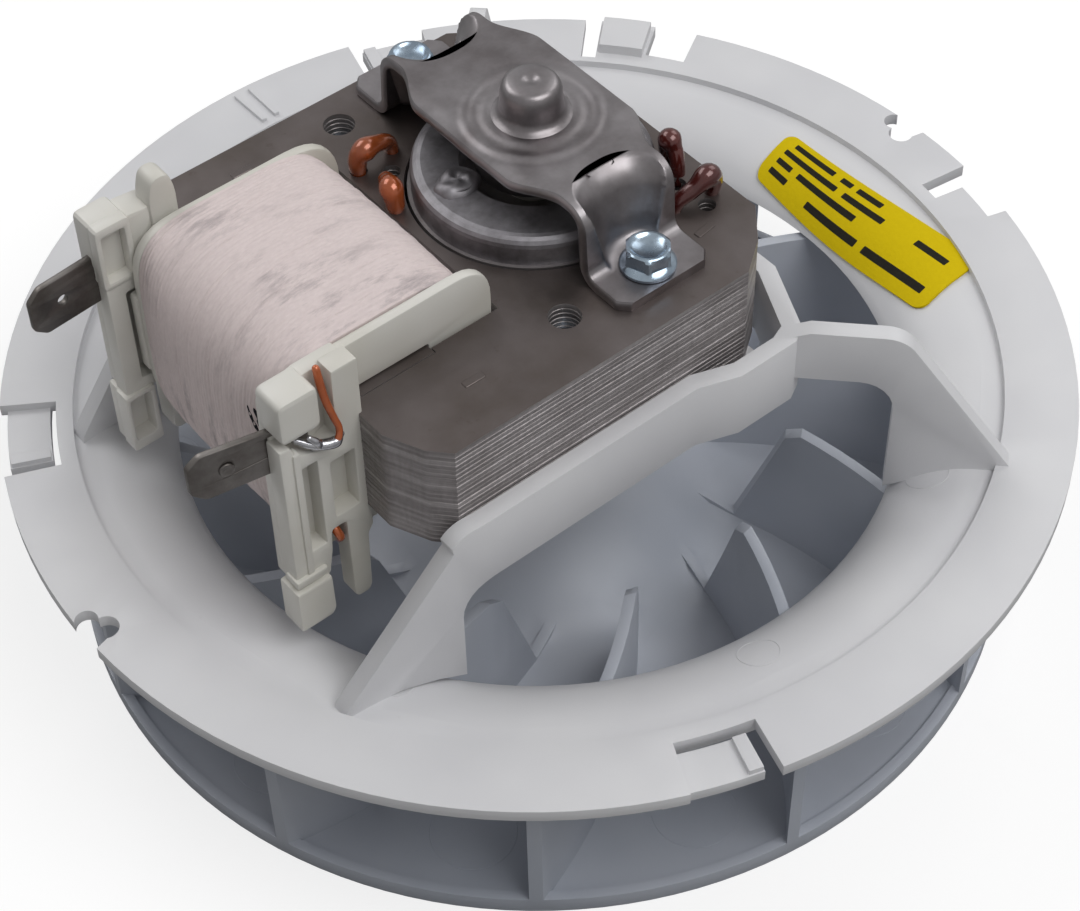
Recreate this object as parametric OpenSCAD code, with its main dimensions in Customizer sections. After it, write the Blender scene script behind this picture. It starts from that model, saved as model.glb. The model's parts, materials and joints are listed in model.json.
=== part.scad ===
// Appliance cooling fan: a moulded ring with a bell-mouth inlet carries a shaded-pole motor in a
// cradle of upright walls, and the motor turns a backward-curved centrifugal wheel under the ring.
// Origin: on the shaft, in the plane of the flange's upper face. +Z points from the wheel to the motor,
// +X from the coil to the open end of the motor.

/* [Mounting ring] */
// Radius of the flange
ring_r = 62.5; // [60:0.1:66]
// Thickness of the flange
flange_t = 1.6; // [1.2:0.1:2]
// Width of the raised flange, from the rim to the step
flange_w = 8.2; // [7.8:0.1:8.4]
// Width of the flat land between the step and the bell mouth
land_w = 2.3; // [2:0.1:2.6]
// Width of the bell mouth, from the land to the throat
bell_w = 9.4; // [9:0.1:9.8]
// Depth of that step
step_drop = 0.9; // [0.4:0.1:1]
// Radius of the bell mouth's curve, in section
bell_r = 11.3; // [10.8:0.1:12]
// Wall of the moulding
ring_wall = 1.6; // [1.3:0.1:1.8]
// Depth of the ring below the flange's upper face
ring_depth = 5.9; // [5.5:0.1:6]
// Depth of the notches in the rim
notch_depth = 6.5; // [6:0.1:6.7]
// Depth of the stiffening skirt under the flange
skirt_depth = 2.6; // [2.2:0.1:3]
// Width of the label, along the slope of the bell mouth
label_w = 10.9; // [10:0.1:11.5]
// Length of the label
label_l = 27.8; // [27:0.1:29]
// Thickness of the label
label_t = 0.15; // [0.1:0.01:0.2]

/* [Cradle] */
// Thickness of the upright walls
cradle_wall = 2; // [1.6:0.1:2.2]
// Height of the walls' upper edge above the flange
cradle_top = 18.3; // [17.5:0.1:19]
// Height of the walls' lower edge above the flange
cradle_low = 9.3; // [8.5:0.1:10]
// Height of the arm that runs outwards at the open end of the motor
arm_top = 19; // [18.3:0.1:19.5]
// Gap between the walls and the laminations
cradle_gap = 0.15; // [0.1:0.05:0.3]
// Thickness of the lugs for the core's fixing screws
lug_t = 3; // [2.6:0.1:3.4]

/* [Laminated core] */
// Half the width of the core, across the shaft
core_half_w = 25.6; // [25:0.1:26]
// Distance from the shaft to the core's open end
core_open_x = 15.5; // [15:0.1:16]
// Distance from the shaft to the core's coil end
core_coil_x = 35; // [34.5:0.1:36]
// Height of the core's lower face above the flange
core_z = 14.4; // [14:0.1:15]
// Thickness of the stack of laminations
core_t = 14; // [13:0.65:15.6]
// Radius of the rotor's bore in the core
core_bore_r = 14; // [13.9:0.05:14.2]
// Distance of the core's fixing holes from the shaft, along X
fix_hole_x = 10.7; // [10:0.1:11]
// Distance of the near fixing hole from the shaft, along Y
fix_near_y = 18.1; // [17.8:0.1:18.4]
// Distance of the far fixing hole from the shaft, along Y
fix_far_y = 20.9; // [20.6:0.1:21.1]
// Radius of the core's fixing holes
fix_hole_r = 1.75; // [1.7:0.05:1.9]
// Width of the limb that carries the coil
limb_w = 11; // [10:0.1:12]
// Half the length of that limb
limb_half_l = 15; // [14.5:0.1:16]

/* [Coil and bobbin] */
// Middle of the coil, from the shaft along Y
coil_y = 1.5; // [1:0.1:2]
// Length of the bobbin over its two flanges
bobbin_l = 27.6; // [27:0.1:28]
// Thickness of the bobbin's flanges
bobbin_flange_t = 1.2; // [1:0.1:1.4]
// Wall of the bobbin's tube
bobbin_wall = 1; // [0.8:0.1:1.2]
// Height of the bobbin's flanges above the core
bobbin_rise = 6.6; // [6.4:0.1:8.2]
// Depth of the copper winding
winding_t = 5; // [4.6:0.1:6]
// Thickness of the fabric tape over the winding
tape_t = 0.6; // [0.4:0.1:0.8]
// Width of a terminal block
block_w = 3.8; // [3.4:0.1:4.2]
// Height of the terminal blocks' lower ends above the flange
block_low = 3; // [2.5:0.1:4]
// Height of the near terminal block's upper end above the flange
near_block_top = 36; // [35:0.1:36.5]
// Height of the far terminal block's upper end above the flange
far_block_top = 37.5; // [36.5:0.1:38]

/* [Terminals] */
// Width of a spade terminal
tab_w = 6.3; // [6.3, 4.8]
// Thickness of a spade terminal
tab_t = 0.8; // [0.5, 0.8]
// Length of a spade terminal that stands out of its block
tab_l = 9.5; // [8:0.1:10.5]

/* [Rotor and shaft] */
// Radial gap between rotor and core
air_gap = 0.3; // [0.25:0.05:0.4]
// Radius of the shaft
shaft_r = 2; // [1.6:0.1:2.1]
// Radius of the rotor's cast end rings
end_ring_r = 13.3; // [12.8:0.1:13.3]
// Height of an end ring
end_ring_h = 3.5; // [3:0.1:3.8]
// Running clearance between shaft and bearings, on the radius
bearing_clear = 0.03; // [0.02:0.01:0.05]
// Radius of a bearing's round outside
bearing_r = 4.3; // [4:0.1:4.6]
// Height of a bearing
bearing_h = 4.6; // [4.2:0.1:5]
// Thickness of the felt ring round a bearing
felt_t = 1.2; // [1:0.1:1.4]
// Radius of the spacer between rotor and bearing
spacer_r = 3.4; // [3:0.1:3.6]
// Wall of the cup that holds bearing and felt
cup_t = 0.6; // [0.5:0.1:0.8]

/* [Bearing bridges] */
// Thickness of the bridges' sheet
bridge_t = 1.2; // [1:0.1:1.4]
// Rise of a bridge's outer face above the core
bridge_rise = 9.6; // [9.4:0.1:10.2]
// Height of the pressed cap over a bearing
cap_h = 4.4; // [4:0.1:4.8]
// Distance of the bridge screws from the middle of a bridge
bridge_screw_y = 20.2; // [20:0.1:20.6]
// Distance of a bridge's middle from the shaft, along Y
bridge_shift = 1.4; // [1.2:0.1:1.5]
// Thread radius of all the screws
screw_r = 1.5; // [1.5:0.05:1.6]
// Radius of the flange under a screw's head
screw_flange_r = 3.05; // [3:0.05:3.4]
// Height of a screw's hexagon head
screw_head_h = 1.9; // [1.7:0.1:2.4]

/* [Impeller] */
// Radius of the impeller's disc
wheel_r = 57; // [55:0.1:58]
// Thickness of the disc
disc_t = 1.8; // [1.5:0.1:2.2]
// Height of the disc's lower face, from the flange
wheel_z = -28.2; // [-30:0.1:-28]
// Height of the blades' upper edges, from the flange
blade_top = -6.6; // [-7:0.1:-6.4]
// Number of blades
blade_count = 12; // [9:1:13]
// Thickness of a blade
blade_t = 1.3; // [1.1:0.1:1.6]
// Angle of the blades to the radius at their outer ends
blade_out_angle = 34; // [30:1:38]
// Angle of the blades to the radius at their inner ends
blade_in_angle = 28; // [24:1:32]
// Radius at which the blades start on the disc
blade_in_r = 24; // [22:0.5:26]
// Radius at which the blades start at their upper edges
blade_in_top_r = 30; // [28:0.5:31]

/* [Hidden] */

eps = 0.01;
core_top = core_z + core_t;
core_mid = core_z + core_t / 2;
rotor_r = core_bore_r - air_gap;

// Colours as the finished fan shows them
ring_white = [0.80, 0.80, 0.81];
wheel_grey = [0.66, 0.69, 0.73];
core_brown = [0.27, 0.25, 0.24];
steel = [0.62, 0.62, 0.63];
zinc = [0.70, 0.74, 0.80];
cast = [0.55, 0.56, 0.58];
tape_pink = [0.87, 0.83, 0.81];
bobbin_white = [0.88, 0.88, 0.84];
tinned = [0.52, 0.52, 0.51];
copper = [0.62, 0.30, 0.12];

// Helpers

// An arc of points about [cx, cy], for outlines
function arc(cx, cy, r, a0, a1, n) =
    [for (i = [0:n]) [cx + r * cos(a0 + (a1 - a0) * i / n), cy + r * sin(a0 + (a1 - a0) * i / n)]];

module tube(r_out, r_in, z0, z1, fn = 64) {
    translate([0, 0, z0])
        difference() {
            cylinder(h = z1 - z0, r = r_out, $fn = fn);
            translate([0, 0, -1]) cylinder(h = z1 - z0 + 2, r = r_in, $fn = fn);
        }
}

// A wedge of the ring between two angles, as a plan outline that reaches from r0 to r1
module sector(a0, a1, r0, r1) {
    polygon(concat(arc(0, 0, r0, a0, a1, 6), arc(0, 0, r1, a1, a0, 6)));
}

// Copies across the core's middle plane, for what is the same above and below the core
module below_core() {
    translate([0, 0, 2 * core_mid]) mirror([0, 0, 1]) children();
}

// Mounting ring

// Radii of the step, of the bell mouth's crown and of the throat
step_r = ring_r - flange_w;
bell_x = step_r - land_w;
throat_r = bell_x - bell_w;
notch_r = ring_r - notch_depth;
bell_z = -step_drop - bell_r;

module ring_section() {
    // flange and its step
    translate([step_r, -flange_t]) square([ring_r - step_r, flange_t]);
    translate([bell_x, -step_drop - ring_wall]) square([step_r - bell_x + eps, ring_wall]);
    // skirt that stiffens the flange
    translate([step_r - 0.2, -skirt_depth]) square([ring_wall, skirt_depth]);
    // bell mouth, an arc that rolls down to the throat
    intersection() {
        translate([bell_x, bell_z])
            difference() {
                circle(r = bell_r, $fn = 128);
                circle(r = bell_r - ring_wall, $fn = 128);
            }
        translate([throat_r, -ring_depth]) square([bell_x - throat_r, ring_depth]);
    }
}

// Notches in the rim, as [start angle, end angle, depth radius]
notches = [
    [-115.2, -105.9, notch_r],
    [64.8, 74.1, notch_r],
    [146.4, 156.5, notch_r],
    [-11, -8.1, notch_r],
    [-16.6, -10.9, ring_r - 2.5],
    [42.6, 44.6, notch_r - 1],
    [30.8, 36, notch_r + 0.6]
];

// A round-ended bayonet notch: a slot that runs in from the rim, then turns along it
module bayonet(angle, turn) {
    rotate([0, 0, angle]) {
        slot_r = ring_r - 2.3;
        translate([slot_r, 0]) circle(r = 1.5, $fn = 32);
        polygon([[slot_r, -1.2], [ring_r + 2, -2.2], [ring_r + 2, 2.2], [slot_r, 1.2]]);
        rotate([0, 0, turn]) translate([slot_r + 1.1, 0]) circle(r = 1.3, $fn = 32);
    }
}

module rim_cuts() {
    for (n = notches) sector(n[0], n[1], n[2], ring_r + 2);
    bayonet(0.6, 2);
    bayonet(180.4, -2);
}

// A snap finger in a notch: a tongue on the notch's side, set below the flange, with a raised lip
module snap_finger(a_root, a_tip) {
    finger_top = -1;
    finger_low = -2.4;
    dir = a_tip > a_root ? 1 : -1;
    ring_block(a_root - 1.5 * dir, a_tip, notch_r + 0.8, ring_r - 0.8, finger_low, finger_top);
    // block that joins the finger to the underside of the flange
    ring_block(a_root - 2.4 * dir, a_root + 0.3 * dir, notch_r + 2.6, ring_r - 1.2,
        finger_low - 1.2, -flange_t + eps);
    // raised lip along the finger's free end
    ring_block(a_tip - 1.6 * dir, a_tip - 0.1 * dir, notch_r + 1, ring_r - 1,
        finger_low + 0.5, finger_top + 0.7);
}

// A block of the ring between two angles, two radii and two heights
module ring_block(a0, a1, r0, r1, z0, z1) {
    lo = min(a0, a1);
    hi = max(a0, a1);
    rotate([0, 0, lo])
        rotate_extrude(angle = hi - lo, $fn = 180)
            translate([r0, z0]) square([r1 - r0, z1 - z0]);
}

// Plan outline of the long cradle wall, from the coil-end arm to the open end
wall_in = core_half_w + cradle_gap;
wall_out = wall_in + cradle_wall;
// How far the wall stands off near the open end
wall_jog = 1.7;
// Where the wall ends on the ring's step, and where it crosses the throat
wall_end_x = sqrt(pow(step_r - 0.2, 2) - pow(wall_in, 2));
wall_throat_x = sqrt(pow(throat_r, 2) - pow(wall_out, 2)) + 0.2;

module wall_plan() {
    polygon([
        [-wall_end_x, -wall_in + 1.6], [-29.5, -wall_in], [0, -wall_in], [4.8, -wall_in - wall_jog],
        [10.6, -wall_in - wall_jog], [12.4, -wall_in - 1], [16.2, -19], [16.2, -16.4],
        [18.2, -16.4], [18.2, -19.6], [14, -wall_out - 0.6], [12, -wall_out - wall_jog],
        [4.2, -wall_out - wall_jog], [-0.6, -wall_out], [-29.5, -wall_out],
        [-wall_end_x, -wall_out + 1.6]
    ]);
}

// Side outline of the same wall: a sloping arm, the long beam and the arch under it
module wall_side() {
    arch_r = 4;
    polygon(concat(
        [[-wall_end_x + 0.2, -1], [-wall_end_x + 0.4, 0], [1.8 - core_coil_x, cradle_top - 2.2]],
        arc(4.4 - core_coil_x, cradle_top - 3.6, 3.6, 140, 90, 5),
        [[19, cradle_top], [19, cradle_low]],
        arc(arch_r - wall_throat_x, cradle_low - arch_r, arch_r, 90, 180, 6),
        [[-wall_throat_x, -4.6], [-wall_throat_x - 3.5, -2.8], [-wall_throat_x - 8, -1.2]]
    ));
}

// The second arm runs from the wall's corner out to the ring
arm_x = 13.2;
arm_y = -wall_out - 0.6;
arm_angle = -46;
// Length along the arm at which it is at radius r, from its own origin
function arm_at(r) = let (b = arm_x * cos(arm_angle) + arm_y * sin(arm_angle))
    sqrt(b * b + r * r - arm_x * arm_x - arm_y * arm_y) - b;

module arm_side() {
    arch_r = 4;
    end = arm_at(step_r + 1.2);
    low = arm_at(throat_r - 0.6);
    // the shoulder stays above the arch, which follows the throat
    shoulder = max(low - 1.6, 1.6);
    polygon(concat(
        [[-0.6, 12], [-0.6, arm_top - 0.8], [1.5, arm_top]],
        arc(shoulder, arm_top - 4, 4, 90, 38, 5),
        [[end, -0.2], [end, -1.2], [arm_at(bell_x - 1.4), -1.2], [arm_at(throat_r + 3.7), -2.8],
            [low, -4.9]],
        arc(low - arch_r, 12 - arch_r, arch_r, 0, 90, 6)
    ));
}

module cradle_half(hole_y) {
    ledge_w = 5;
    ledge_t = 2;
    intersection() {
        translate([0, 0, -6]) linear_extrude(height = 30) wall_plan();
        rotate([90, 0, 0]) translate([0, 0, 10]) linear_extrude(height = 30) wall_side();
    }
    translate([arm_x, arm_y, 0])
        rotate([0, 0, arm_angle])
            rotate([90, 0, 0])
                translate([0, 0, -cradle_wall / 2])
                    linear_extrude(height = cradle_wall) arm_side();
    // ledge that the core sits on, and the lug for its fixing screw
    difference() {
        union() {
            translate([-27, -wall_in - eps, core_z - ledge_t]) cube([20, ledge_w, ledge_t]);
            fixing_lug(hole_y);
        }
        translate([-fix_hole_x, -hole_y, 0]) cylinder(h = core_z + 1, r = fix_hole_r, $fn = 32);
    }
    // short ledge under the core's other end, from the part of the wall that stands off it
    translate([7.2, -wall_in - wall_jog - eps, core_z - ledge_t])
        cube([3.2, ledge_w + wall_jog, ledge_t]);
}

module fixing_lug(hole_y) {
    lug_r = 3.8;
    translate([-fix_hole_x, -hole_y, core_z - lug_t]) cylinder(h = lug_t, r = lug_r, $fn = 48);
    translate([-fix_hole_x - lug_r, -wall_in - eps, core_z - lug_t])
        cube([2 * lug_r, wall_in - hole_y, lug_t]);
}

module mounting_ring() {
    color(ring_white) {
        difference() {
            rotate_extrude($fn = 256) ring_section();
            translate([0, 0, -skirt_depth - 1]) linear_extrude(height = skirt_depth + 2) rim_cuts();
        }
        cradle_half(fix_near_y);
        mirror([0, 1, 0]) cradle_half(fix_far_y);
        snap_finger(-115.2, -107.4);
        snap_finger(64.8, 72.6);
        snap_finger(146.4, 154.8);
        // latch block and its post on the rim
        ring_block(36.4, 42.2, notch_r, ring_r - 0.8, -flange_t / 2, 1.4);
        // two ribs across the flange
        for (a = [87.6, 89.6]) ring_block(a, a + 0.7, step_r + 0.8, ring_r - 1.2, -eps, 0.5);
    }
}

// Impeller

// Radius of the blades' arc and its centre's distance from the shaft, from the two blade angles
blade_arc_r = (wheel_r * wheel_r - blade_in_r * blade_in_r)
    / (2 * (wheel_r * sin(blade_out_angle) - blade_in_r * sin(blade_in_angle)));
blade_arc_c = sqrt(wheel_r * wheel_r + blade_arc_r * blade_arc_r
    - 2 * wheel_r * blade_arc_r * sin(blade_out_angle));
// Where the blade's arc meets the rim, as an angle about the shaft from the arc's centre
blade_rim_angle = acos((wheel_r * wheel_r + blade_arc_c * blade_arc_c - blade_arc_r * blade_arc_r)
    / (2 * wheel_r * blade_arc_c));
// Angle of the first blade's outer end
blade_start = 19.9;
disc_top = wheel_z + disc_t;
hub_r = 5;
hub_top = -9.5;
cone_r = 24;
cone_rise = 9;
boss_low = disc_top + cone_rise - 6;

module disc_section() {
    translate([cone_r, wheel_z]) square([wheel_r - cone_r, disc_t]);
    // thickened rim
    translate([wheel_r - 1.2, wheel_z]) square([1.2, 2.3]);
    // dished middle that rises to the hub
    polygon([
        [shaft_r, disc_top + cone_rise], [hub_r + 2, disc_top + cone_rise],
        [hub_r + 5.5, disc_top + cone_rise - 1.2], [cone_r - 3, disc_top + 0.5],
        [cone_r, disc_top], [cone_r, wheel_z], [cone_r - 3.4, wheel_z + 0.5],
        [hub_r + 4.5, disc_top + cone_rise - 1.2 - disc_t], [hub_r + 1, disc_top + cone_rise - disc_t],
        [shaft_r, disc_top + cone_rise - disc_t]
    ]);
    // boss on the shaft
    translate([shaft_r, boss_low]) square([hub_r - shaft_r, hub_top - boss_low]);
}

// Region that the blades fill, in section
module blade_section() {
    polygon([
        [blade_in_r - 6, disc_top - 0.6], [blade_in_r - 6, disc_top + 2], [blade_in_r, disc_top + 0.3],
        [blade_in_top_r - 0.5, blade_top - 1.6], [blade_in_top_r + 1.4, blade_top],
        [wheel_r, blade_top], [wheel_r, disc_top - 0.6]
    ]);
}

module blade_plan() {
    for (i = [0:blade_count - 1])
        rotate([0, 0, blade_start + i * 360 / blade_count - blade_rim_angle])
            translate([blade_arc_c, 0])
                difference() {
                    circle(r = blade_arc_r + blade_t / 2, $fn = 256);
                    circle(r = blade_arc_r - blade_t / 2, $fn = 256);
                    // keep the half of the arc that lies on this blade's side
                    translate([-3 * wheel_r, -4 * wheel_r]) square([6 * wheel_r, 4 * wheel_r]);
                }
}

module impeller() {
    color(wheel_grey) {
        rotate_extrude($fn = 256) disc_section();
        intersection() {
            translate([0, 0, wheel_z]) linear_extrude(height = blade_top - wheel_z + 1) blade_plan();
            rotate_extrude($fn = 256) blade_section();
        }
    }
}

// Sprung steel ring that clamps the hub on the shaft
module hub_clip() {
    clip_low = hub_top - 4;
    color(steel) tube(hub_r + 0.9, hub_r, clip_low, clip_low + 2.6);
}

// Laminated core

module core_outline() {
    w = core_half_w;
    polygon([
        [core_open_x, -w + 7], [core_open_x, w - 7], [12.1, w - 2.9], [8.1, w],
        [-core_coil_x + 4, w], [-core_coil_x + 2, w - 2.2], [-core_coil_x, w - 6.6],
        [-core_coil_x, -w + 6.6], [-core_coil_x + 2, -w + 2.2], [-core_coil_x + 4, -w],
        [8.1, -w], [12.1, -w + 2.9]
    ]);
}

// Inner edge of the limb, and the window between the limb and the rotor
limb_x = -core_coil_x + limb_w;
window_x = -15.2;
window_half = bobbin_l / 2 + 0.4;

module core_screw_holes(r) {
    for (y = [-fix_near_y, fix_far_y]) translate([-fix_hole_x, y]) circle(r = r, $fn = 32);
    for (s = [-1, 1]) translate([0, bridge_shift + s * bridge_screw_y]) circle(r = r, $fn = 32);
}

module stator_core() {
    color(core_brown)
        translate([0, 0, core_z])
            linear_extrude(height = core_t)
                difference() {
                    core_outline();
                    circle(r = core_bore_r, $fn = 128);
                    // window for the coil
                    translate([limb_x - eps, coil_y - window_half])
                        square([window_x - limb_x, 2 * window_half]);
                    // seat of the separate limb
                    translate([-core_coil_x - 1, -limb_half_l + coil_y])
                        square([limb_w + 1.05, 2 * limb_half_l]);
                    // slots of the shading rings
                    shading_slots();
                    core_screw_holes(fix_hole_r);
                }
}

module limb_core() {
    color(core_brown)
        translate([-core_coil_x, coil_y - limb_half_l, core_z])
            cube([limb_w, 2 * limb_half_l, core_t]);
}

// Bobbin

tube_in_x0 = -core_coil_x - 0.2;
tube_in_x1 = limb_x + 0.2;
tube_in_z0 = core_z - 0.2;
tube_in_z1 = core_top + 0.2;
bobbin_x0 = tube_in_x0 - bobbin_wall;
bobbin_x1 = tube_in_x1 + bobbin_wall;
bobbin_z0 = tube_in_z0 - bobbin_wall;
bobbin_z1 = tube_in_z1 + bobbin_wall;
flange_top = core_top + bobbin_rise;
flange_low = core_z - bobbin_rise;
flange_x0 = -core_coil_x - 8;
flange_x1 = window_x - 0.4;
coil_y0 = coil_y - bobbin_l / 2;
coil_y1 = coil_y + bobbin_l / 2;

// A bobbin flange in its own plane (x across, y up), with rounded upper corners
module flange_outline() {
    r = 4.5;
    hull() {
        translate([flange_x0 + r, flange_top - r]) circle(r = r, $fn = 32);
        translate([flange_x1 - r, flange_top - r]) circle(r = r, $fn = 32);
        translate([flange_x0 + r, flange_low + r]) circle(r = r, $fn = 32);
        translate([flange_x1 - r, flange_low + r]) circle(r = r, $fn = 32);
    }
}

module in_y(y0, y1) {
    translate([0, y1, 0]) rotate([90, 0, 0]) linear_extrude(height = y1 - y0) children();
}

// Terminal block: an upright bar with pockets, a slot for the wire and a foot
block_x0 = flange_x0 - 0.5;
block_d = 8.6;

module terminal_block(y0, top) {
    difference() {
        union() {
            translate([block_x0, y0, block_low + 5]) cube([block_d, block_w, top - block_low - 5]);
            // two legs at the lower end
            translate([block_x0, y0, block_low]) cube([2.6, block_w, 6]);
            translate([block_x0 + block_d - 2.2, y0, block_low + 1]) cube([2.2, block_w, 6]);
        }
        // pockets through the block
        translate([block_x0 + 1.2, y0 - 1, core_z - 3.5]) cube([2.6, block_w + 2, 9]);
        translate([block_x0 + 5, y0 - 1, core_z + 2]) cube([2.4, block_w + 2, 5]);
        // notch for the wire
        translate([block_x0 + 4.2, y0 - 1, top - 9]) cube([1.5, block_w + 2, 10]);
    }
}

near_block_y = -14.9;
far_block_y = 16.2;

module bobbin() {
    color(bobbin_white)
        difference() {
            union() {
                in_y(coil_y0, coil_y0 + bobbin_flange_t) flange_outline();
                in_y(coil_y1 - bobbin_flange_t, coil_y1) flange_outline();
                translate([bobbin_x0, coil_y0, bobbin_z0])
                    cube([bobbin_x1 - bobbin_x0, bobbin_l, bobbin_z1 - bobbin_z0]);
                terminal_block(near_block_y, near_block_top);
                terminal_block(far_block_y, far_block_top);
                // bridges from the blocks to the flanges
                translate([block_x0 + 2, near_block_y + block_w - eps, core_z + 4])
                    cube([5, coil_y0 - near_block_y - block_w + 2 * eps + 0.4, 6]);
                translate([block_x0 + 2, coil_y1 - 0.4, core_z + 4])
                    cube([5, far_block_y - coil_y1 + 0.4 + eps, 6]);
            }
            translate([tube_in_x0, coil_y0 - 5, tube_in_z0])
                cube([tube_in_x1 - tube_in_x0, bobbin_l + 10, tube_in_z1 - tube_in_z0]);
        }
}

winding_y0 = coil_y0 + bobbin_flange_t + 0.1;
winding_y1 = coil_y1 - bobbin_flange_t - 0.1;

// Section of the coil at a distance t outside the bobbin's tube, with round corners
module coil_section(t) {
    r = t;
    hull()
        for (x = [bobbin_x0, bobbin_x1], z = [bobbin_z0, bobbin_z1])
            translate([x, z]) circle(r = r, $fn = 64);
}

module coil_winding() {
    color(copper)
        in_y(winding_y0, winding_y1)
            difference() {
                coil_section(winding_t);
                translate([bobbin_x0, bobbin_z0]) square([bobbin_x1 - bobbin_x0, bobbin_z1 - bobbin_z0]);
            }
}

module coil_tape() {
    color(tape_pink)
        in_y(winding_y0, winding_y1)
            difference() {
                coil_section(winding_t + tape_t);
                coil_section(winding_t);
            }
}

// Spade terminals

module terminal(y_mid, top) {
    tab_z = top - 13;
    x_root = block_x0;
    translate([0, y_mid + tab_t / 2, 0])
        rotate([90, 0, 0])
            linear_extrude(height = tab_t)
                difference() {
                    polygon([
                        [x_root - tab_l, tab_z + 1.2], [x_root - tab_l, tab_z + tab_w - 1.2],
                        [x_root - tab_l + 1.4, tab_z + tab_w], [x_root, tab_z + tab_w],
                        [x_root, tab_z], [x_root - tab_l + 1.4, tab_z]
                    ]);
                    translate([x_root - tab_l + 4, tab_z + tab_w / 2]) circle(r = 0.85, $fn = 24);
                }
}

module terminal_near() {
    color(tinned) terminal(near_block_y + block_w / 2, near_block_top);
}

module terminal_far() {
    color(tinned) terminal(far_block_y + block_w / 2, far_block_top);
}

// Enamelled wire from the winding to each terminal, laid in the block's notch
module coil_lead(y_face, top, side) {
    wire_r = 0.35;
    translate([block_x0 + 4.95, y_face + side * 0.2, top - 8.6]) cylinder(h = 8, r = wire_r, $fn = 24);
}

module coil_lead_near() {
    color(copper) coil_lead(near_block_y + 0.6, near_block_top, 0);
}

module coil_lead_far() {
    color(copper) coil_lead(far_block_y + block_w - 0.6, far_block_top, 0);
}

// Rotor

module rotor_core() {
    color(core_brown) tube(rotor_r, shaft_r, core_z, core_top, 96);
}

module end_ring() {
    edge = 1.2;
    inner_r = end_ring_r - 5.3;
    rotate_extrude($fn = 96)
        polygon(concat(
            [[inner_r, core_top], [end_ring_r, core_top]],
            arc(end_ring_r - edge, core_top + end_ring_h - edge, edge, 0, 90, 4),
            [[inner_r, core_top + end_ring_h]]
        ));
    // cast pin head
    rotate([0, 0, 168.6]) translate([end_ring_r - 4.2, 0, core_top + end_ring_h - eps])
        cylinder(h = 0.6, r = 1.9, $fn = 32);
}

module rotor_cage() {
    color(cast) {
        end_ring();
        below_core() end_ring();
    }
}

cap_out_r = 3.35;
shaft_top = core_top + bridge_rise + cap_h - bridge_t - 0.6;

module shaft() {
    color(steel)
        translate([0, 0, boss_low]) cylinder(h = shaft_top - boss_low, r = shaft_r, $fn = 48);
}

bearing_top = core_top + bridge_rise - bridge_t;
bearing_low = bearing_top - bearing_h;
felt_in_r = bearing_r + 0.1;
felt_out_r = felt_in_r + felt_t;
cup_in_r = felt_out_r + 0.1;
cup_out_r = cup_in_r + cup_t;

module thrust_spacers() {
    spacer_gap = 0.3;
    color(bobbin_white) {
        tube(spacer_r, shaft_r, core_top, bearing_low - spacer_gap);
        below_core() tube(spacer_r, shaft_r, core_top, bearing_low - spacer_gap);
    }
}

// Bearing bridges

riser_y = 16.4;
foot_half_w = 6.2;
foot_end = 23.6;

// Side outline of a bridge in the Y-Z plane, from its middle to one foot
module bridge_side() {
    z0 = core_top;
    top = core_top + bridge_rise;
    bend = 2.4;
    inner = bend - bridge_t;
    polygon(concat(
        [[0, top - bridge_t]],
        arc(riser_y - bend, top - bend, inner, 90, 0, 6),
        arc(riser_y + bend - bridge_t, z0 + bend, bend, 180, 270, 6),
        [[foot_end, z0], [foot_end, z0 + bridge_t]],
        arc(riser_y + bend - bridge_t, z0 + bend, inner, 270, 180, 6),
        arc(riser_y - bend, top - bend, bend, 0, 90, 6),
        [[0, top]]
    ));
}

// Plan outline of a bridge: waisted between the middle and its feet
module bridge_plan() {
    waist = 6.1;
    middle = 8.7;
    for (s = [0, 1]) mirror([0, s])
        polygon(concat(
            [[0, 0], [-middle, 0], [-middle, 7.4], [-waist - 0.9, 11], [-waist, 14.4],
                [-foot_half_w, 17.8], [-foot_half_w, foot_end - 1.2], [-foot_half_w + 1.2, foot_end]],
            [[foot_half_w - 1.2, foot_end], [foot_half_w, foot_end - 1.2], [foot_half_w, 17.8],
                [waist, 14.4], [waist + 0.9, 11], [middle, 7.4], [middle, 0]]
        ));
}

dimple_r = 4;

module bridge_sheet() {
    difference() {
        union() {
            intersection() {
                rotate([90, 0, 90])
                    translate([0, 0, -20])
                        linear_extrude(height = 40)
                            for (s = [0, 1]) mirror([s, 0]) bridge_side();
                linear_extrude(height = 60) bridge_plan();
            }
            // pocket pressed into each riser beside the screw's head
            for (s = [-1, 1])
                intersection() {
                    translate([0, s * bridge_screw_y, 0])
                        tube(dimple_r + bridge_t, dimple_r, core_top,
                            core_top + bridge_rise - bridge_t / 2, 48);
                    translate([-foot_half_w, s * riser_y - 3.4, core_top])
                        cube([2 * foot_half_w, 6.8, bridge_rise - bridge_t / 2]);
                    mirror([0, s < 0 ? 1 : 0, 0]) translate([-20, 0, 0]) cube([40, riser_y, 60]);
                }
        }
        for (s = [-1, 1]) {
            translate([0, s * bridge_screw_y, core_top - 1])
                cylinder(h = bridge_t + 2, r = screw_r + 0.2, $fn = 32);
            translate([0, s * bridge_screw_y, core_top + bridge_t])
                cylinder(h = bridge_rise - 1.5 * bridge_t, r = dimple_r, $fn = 48);
        }
    }
}

module bridge_body() {
    difference() {
        translate([0, bridge_shift, 0]) bridge_sheet();
        // hole under the pressed cap
        translate([0, 0, core_top + bridge_rise - bridge_t - 1])
            cylinder(h = bridge_t + 2, r = cap_out_r - bridge_t, $fn = 48);
    }
    // ring pressed round the bearing's seat
    translate([0, 0, core_top + bridge_rise - eps])
        difference() {
            cylinder(h = 0.35, r = 6.9, $fn = 64);
            translate([0, 0, -1]) cylinder(h = 3, r = 5.6, $fn = 64);
        }
}

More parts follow.
